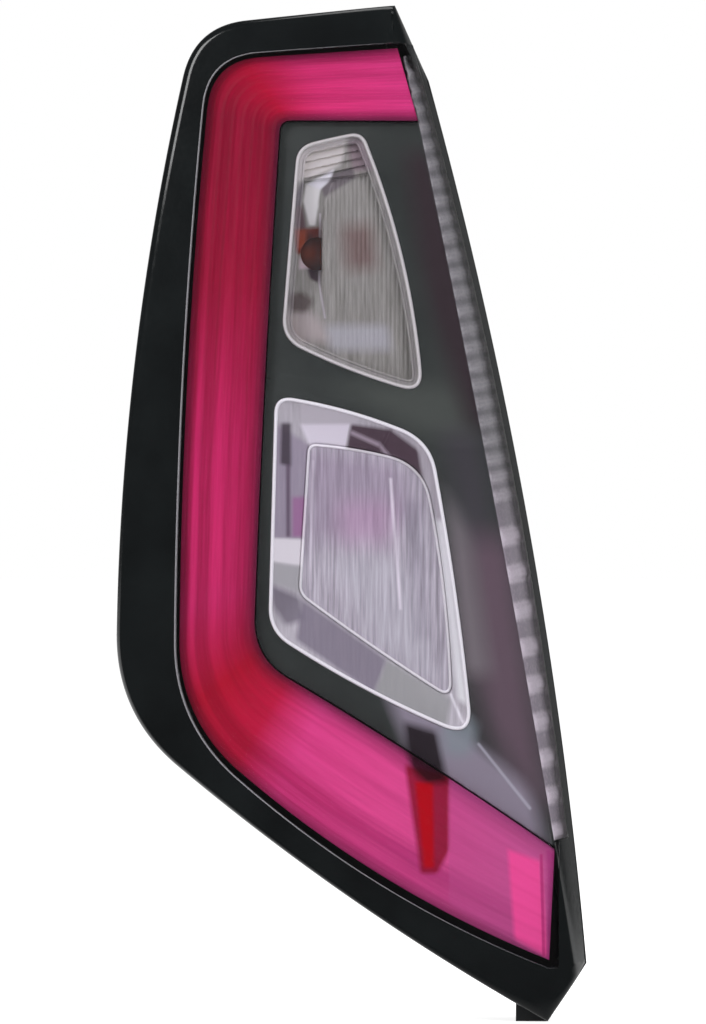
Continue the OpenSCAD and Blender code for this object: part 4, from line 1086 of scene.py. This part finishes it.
# Turned and threaded metal
def turned(name, middle, profile, node_name, mat, pitch, depth, threaded, flats):
    """A solid of revolution about a line along Y from rows of (radius, y). Where y lies in the threaded
    stretch the radius falls by the depth times a triangle wave of y / pitch minus the turn. What is wider
    than the flats is a hexagon."""
    turn = np.linspace(0, 2 * np.pi, 97)[:-1]
    radius, y = np.array(profile, float).T
    hexagon = 0.999 / np.cos((turn % (np.pi / 3)) - np.pi / 6)
    wave = np.abs(((y[None] / pitch - turn[:, None] / (2 * np.pi)) % 1.0) * 2 - 1)
    cut = ((y > threaded[0]) & (y < threaded[1]))[None] * wave * depth
    r = np.where(radius > flats, radius[None] * hexagon[:, None], radius[None] - cut)
    points = np.stack([middle[0] + r * np.cos(turn)[:, None], np.broadcast_to(y, r.shape),
                       middle[1] + r * np.sin(turn)[:, None]], axis=-1)
    return piece(name, [(points, True, False)], [node_name], mat, crisp=35)


# The studs' places, their radius, their collar's half width and height, the ends of root and shank, and the
# thread
STUDS = {"middle_stud": (0.0, 0.0), "upper_stud": (40.0, 262.0), "lower_stud": (135.0, -184.0)}
STUD_R, COLLAR, COLLAR_H, STUD_ROOT, STUD_END = 3.0, 5.7, 4.0, -14.0, 22.0
PITCH, THREAD_DEPTH, THREADED, FLATS = 1.0, 0.5, (1.0, 21.0), 4.0


def stud_profile():
    """Radius and y down a stud: plain root, hexagon collar, shank in steps of a seventh of a millimetre."""
    shank = np.linspace(0.0, STUD_END - 1.0, 150)
    root = [(0.0, STUD_ROOT), (STUD_R - 0.4, STUD_ROOT), (STUD_R, STUD_ROOT + 0.4), (STUD_R, -COLLAR_H)]
    collar = [(COLLAR, -COLLAR_H), (COLLAR, 0.0), (STUD_R, 0.0)]
    return root + collar + [(STUD_R, y) for y in shank[1:]] + [(STUD_R - 0.8, STUD_END), (0.0, STUD_END)]


lens_border(polished_black_acrylic())
lens_clear(clear_acrylic())
light_bar(red_acrylic())
mask_tray(satin_mask_plastic())
upper_reflector(metallised("metallised_indicator", "#88877c", "#b2b1a6", UPPER_FACETS, "#d2cdcc"))
lower_reflector(metallised("metallised_reverse", "#b2acb2", "#ccc6cc", LOWER_FACETS))
window_lens("upper_window_lens", moved_in(outline(UPPER_WINDOW), RIM_W + 0.15), MASK_DEPTH - 0.2, 5.2,
            "indicator_pane", fluted_acrylic("fluted_acrylic_upper", 0.02, "#a8a4a6", "#dcd8dc"))
window_lens("lower_window_lens", moved_in(outline(LOWER_FIELD), 0.15), MASK_DEPTH + STEP_DEPTH, 2.6,
            "reverse_pane", fluted_acrylic("fluted_acrylic_lower", 0.85, "#a8a0aa", "#c9c2cb", PANE_FACETS))
ZINC = grained("zinc_plated_steel", "#9a9ca0", "#c2c4c8", 0.32, 1.11, 0.05, 1.0)
for stud_name, middle in STUDS.items():
    turned(stud_name.replace("stud", "threaded_stud"), middle, stud_profile(), stud_name, ZINC,
           PITCH, THREAD_DEPTH, THREADED, FLATS)

# CAD nodes that stay, each with its finish
FINISHES = {
    "rear_housing": grained("moulded_polypropylene", "#1c1e20", "#26292b", 0.55),
    "lens_bead": grained("bonding_compound", "#101112", "#191a1b", 0.6, 1.67),
    "light_bar_reflector": metallised("metallised_trough", "#a8a6ac", "#dedce2"),
    "bulb_carrier": grained("glass_filled_nylon", "#b9b6ac", "#cfccc2", 0.5),
    "carrier_gasket": grained("moulded_rubber", "#101010", "#1b1b1b", 0.7),
    "connector_pins": grained("stamped_brass", "#b08a3c", "#c9a452", 0.3, metallic=1.0),
    "vent_cap": grained("vent_plastic", "#1a1b1d", "#232527", 0.6),
    "body_gasket": grained("closed_cell_foam", "#1e1f21", "#303234", 0.9, 1.43, 0.4),
    "reflector_screws": ZINC,
    "indicator_bulb_cap": grained("nickel_plated_brass", "#b5ae9c", "#d4cebd", 0.28, 1.11, 0.05, 1.0),
    "indicator_bulb_filament": grained("drawn_wire", "#5a5c60", "#8a8c90", 0.4, metallic=1.0),
    "indicator_bulb_glass": blown_glass("amber_dipped_glass", "#c8501a", 0.6),
    "reverse_bulb_glass": blown_glass("clear_blown_glass", "#eef0f4", 0.1),
}
SAME_FINISH = {
    "carrier_gasket": ["stud_seals"],
    "connector_pins": ["earth_rail", "tail_feed", "reverse_feed", "indicator_feed", "stop_feed"],
    "indicator_bulb_cap": ["reverse_bulb_cap", "tail_bulb_cap", "stop_bulb_cap"],
    "indicator_bulb_filament": ["reverse_bulb_filament"],
    "reverse_bulb_glass": ["tail_bulb_glass", "stop_bulb_glass"],
}
for name, mat in FINISHES.items():
    for node_name in [name] + SAME_FINISH.get(name, []):
        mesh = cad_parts[node_name].data
        mesh.materials.clear()
        mesh.materials.append(mat)

# Camera: straight at the lens from far away, as the photograph shows it
CENTRE_X, CENTRE_Z, VIEW_H = 66.4, 25.9, 553.0
LENS_MM, SENSOR_MM = 300.0, 36.0
SHARP_Y = FRONT_Y + 15
camera = bpy.data.objects.new("camera", bpy.data.cameras.new("camera"))
bpy.context.scene.collection.objects.link(camera)
camera.data.lens, camera.data.sensor_width = LENS_MM, SENSOR_MM
camera.data.clip_end = 100
camera.location = (CENTRE_X / METRE, (SHARP_Y - VIEW_H * LENS_MM / SENSOR_MM) / METRE, CENTRE_Z / METRE)
camera.rotation_euler = (np.pi / 2, 0, 0)
bpy.context.scene.camera = camera

# Floor under the lowest point
FLOOR_R, FLOOR_SIDES = 30.0, 96
FLOOR_LIFT, DIM = 0.7, 0.05
angles = np.arange(FLOOR_SIDES) * 2 * np.pi / FLOOR_SIDES
floor_mesh = bpy.data.meshes.new("floor")
floor_mesh.from_pydata(
    np.column_stack([FLOOR_R * np.cos(angles), FLOOR_R * np.sin(angles), 0 * angles + cad_box[0][2]]).tolist(),
    [], [list(range(FLOOR_SIDES))])
floor = bpy.data.objects.new("floor", floor_mesh)
bpy.context.scene.collection.objects.link(floor)


def pale_floor():
    """A matt white sweep. The camera, metal and glass see it white behind the lamp, with its shadow, and
    what shines back from in front of the lamp is as dim as the room there."""
    made, tree, where = begin("pale_floor")
    cloud = noise(tree, where, 333)
    tone = ramp(tree, cloud, [(0.3, "#f2f2f2"), (0.7, "#f6f6f6")])
    matt = add(tree, "BsdfDiffuse", {"Color": tone})
    path = add(tree, "LightPath")
    depth = add(tree, "SeparateXYZ", {0: where}).outputs[1]
    before = spread(tree, depth, -0.1, 0.0, 1.0, 0.0)
    dim = calc(tree, "MULTIPLY", before, path.outputs["Is Glossy Ray"])
    seen = calc(tree, "MAXIMUM", path.outputs["Is Camera Ray"], path.outputs["Is Glossy Ray"])
    seen = calc(tree, "MAXIMUM", seen, path.outputs["Is Transmission Ray"])
    lift = calc(tree, "MULTIPLY", seen, FLOOR_LIFT)
    glow = add(tree, "Emission", {"Color": "#ffffff", "Strength": lift})
    lit = add(tree, "AddShader", {0: matt, 1: glow})
    dark = add(tree, "Emission", {"Color": "#ffffff", "Strength": DIM})
    return surface(made, "MixShader", {0: dim, 1: lit, 2: dark})


floor_mesh.materials.append(pale_floor())

# World: white to the camera, grey to metal and glass where they look past the lamp, and a dim room in front
ROOM = 0.42
world = bpy.data.worlds.new("studio")
world.use_nodes = True
tree = world.node_tree
tree.nodes.clear()
path = add(tree, "LightPath")
aim = add(tree, "SeparateXYZ", {0: add(tree, "TexCoord").outputs["Generated"]})
behind = spread(tree, aim.outputs[1], 0.6, 0.85, DIM, 0.3)
seen = calc(tree, "MAXIMUM", path.outputs["Is Camera Ray"], path.outputs["Is Transmission Ray"])
glossy = add(tree, "Mix", {"Factor": path.outputs["Is Glossy Ray"], 2: ROOM, 3: behind})
level = add(tree, "Mix", {"Factor": seen, 2: glossy, 3: 1.0})
sky = add(tree, "Background", {"Color": "#ffffff", "Strength": level})
add(tree, "OutputWorld", {0: sky})
# No light sampling of the room, so that each kind of ray sees the level that is meant for it
world.cycles.sampling_method = "NONE"
bpy.context.scene.world = world


def soft_box(name, spot, size, power, shines_back=True):
    """A square lamp of so many metres and watts that faces the middle of the object. It may be kept out of
    mirror reflections, as a lamp behind a polarising sheet is."""
    lamp = bpy.data.lights.new(name, "AREA")
    lamp.size, lamp.energy = size, power
    made = bpy.data.objects.new(name, lamp)
    bpy.context.scene.collection.objects.link(made)
    made.location = spot
    made.visible_glossy = shines_back
    way = Vector((CENTRE_X / METRE, FRONT_Y / METRE, CENTRE_Z / METRE)) - made.location
    made.rotation_euler = way.to_track_quat("-Z", "Y").to_euler()
    return made


soft_box("key", (-2.0, -1.6, 1.6), 1.2, 42)
soft_box("fill", (1.2, -2.4, 1.3), 1.4, 44, False)
soft_box("top", (0.2, 0.3, 2.0), 1.0, 8)

bpy.context.scene.view_settings.view_transform = "Standard"
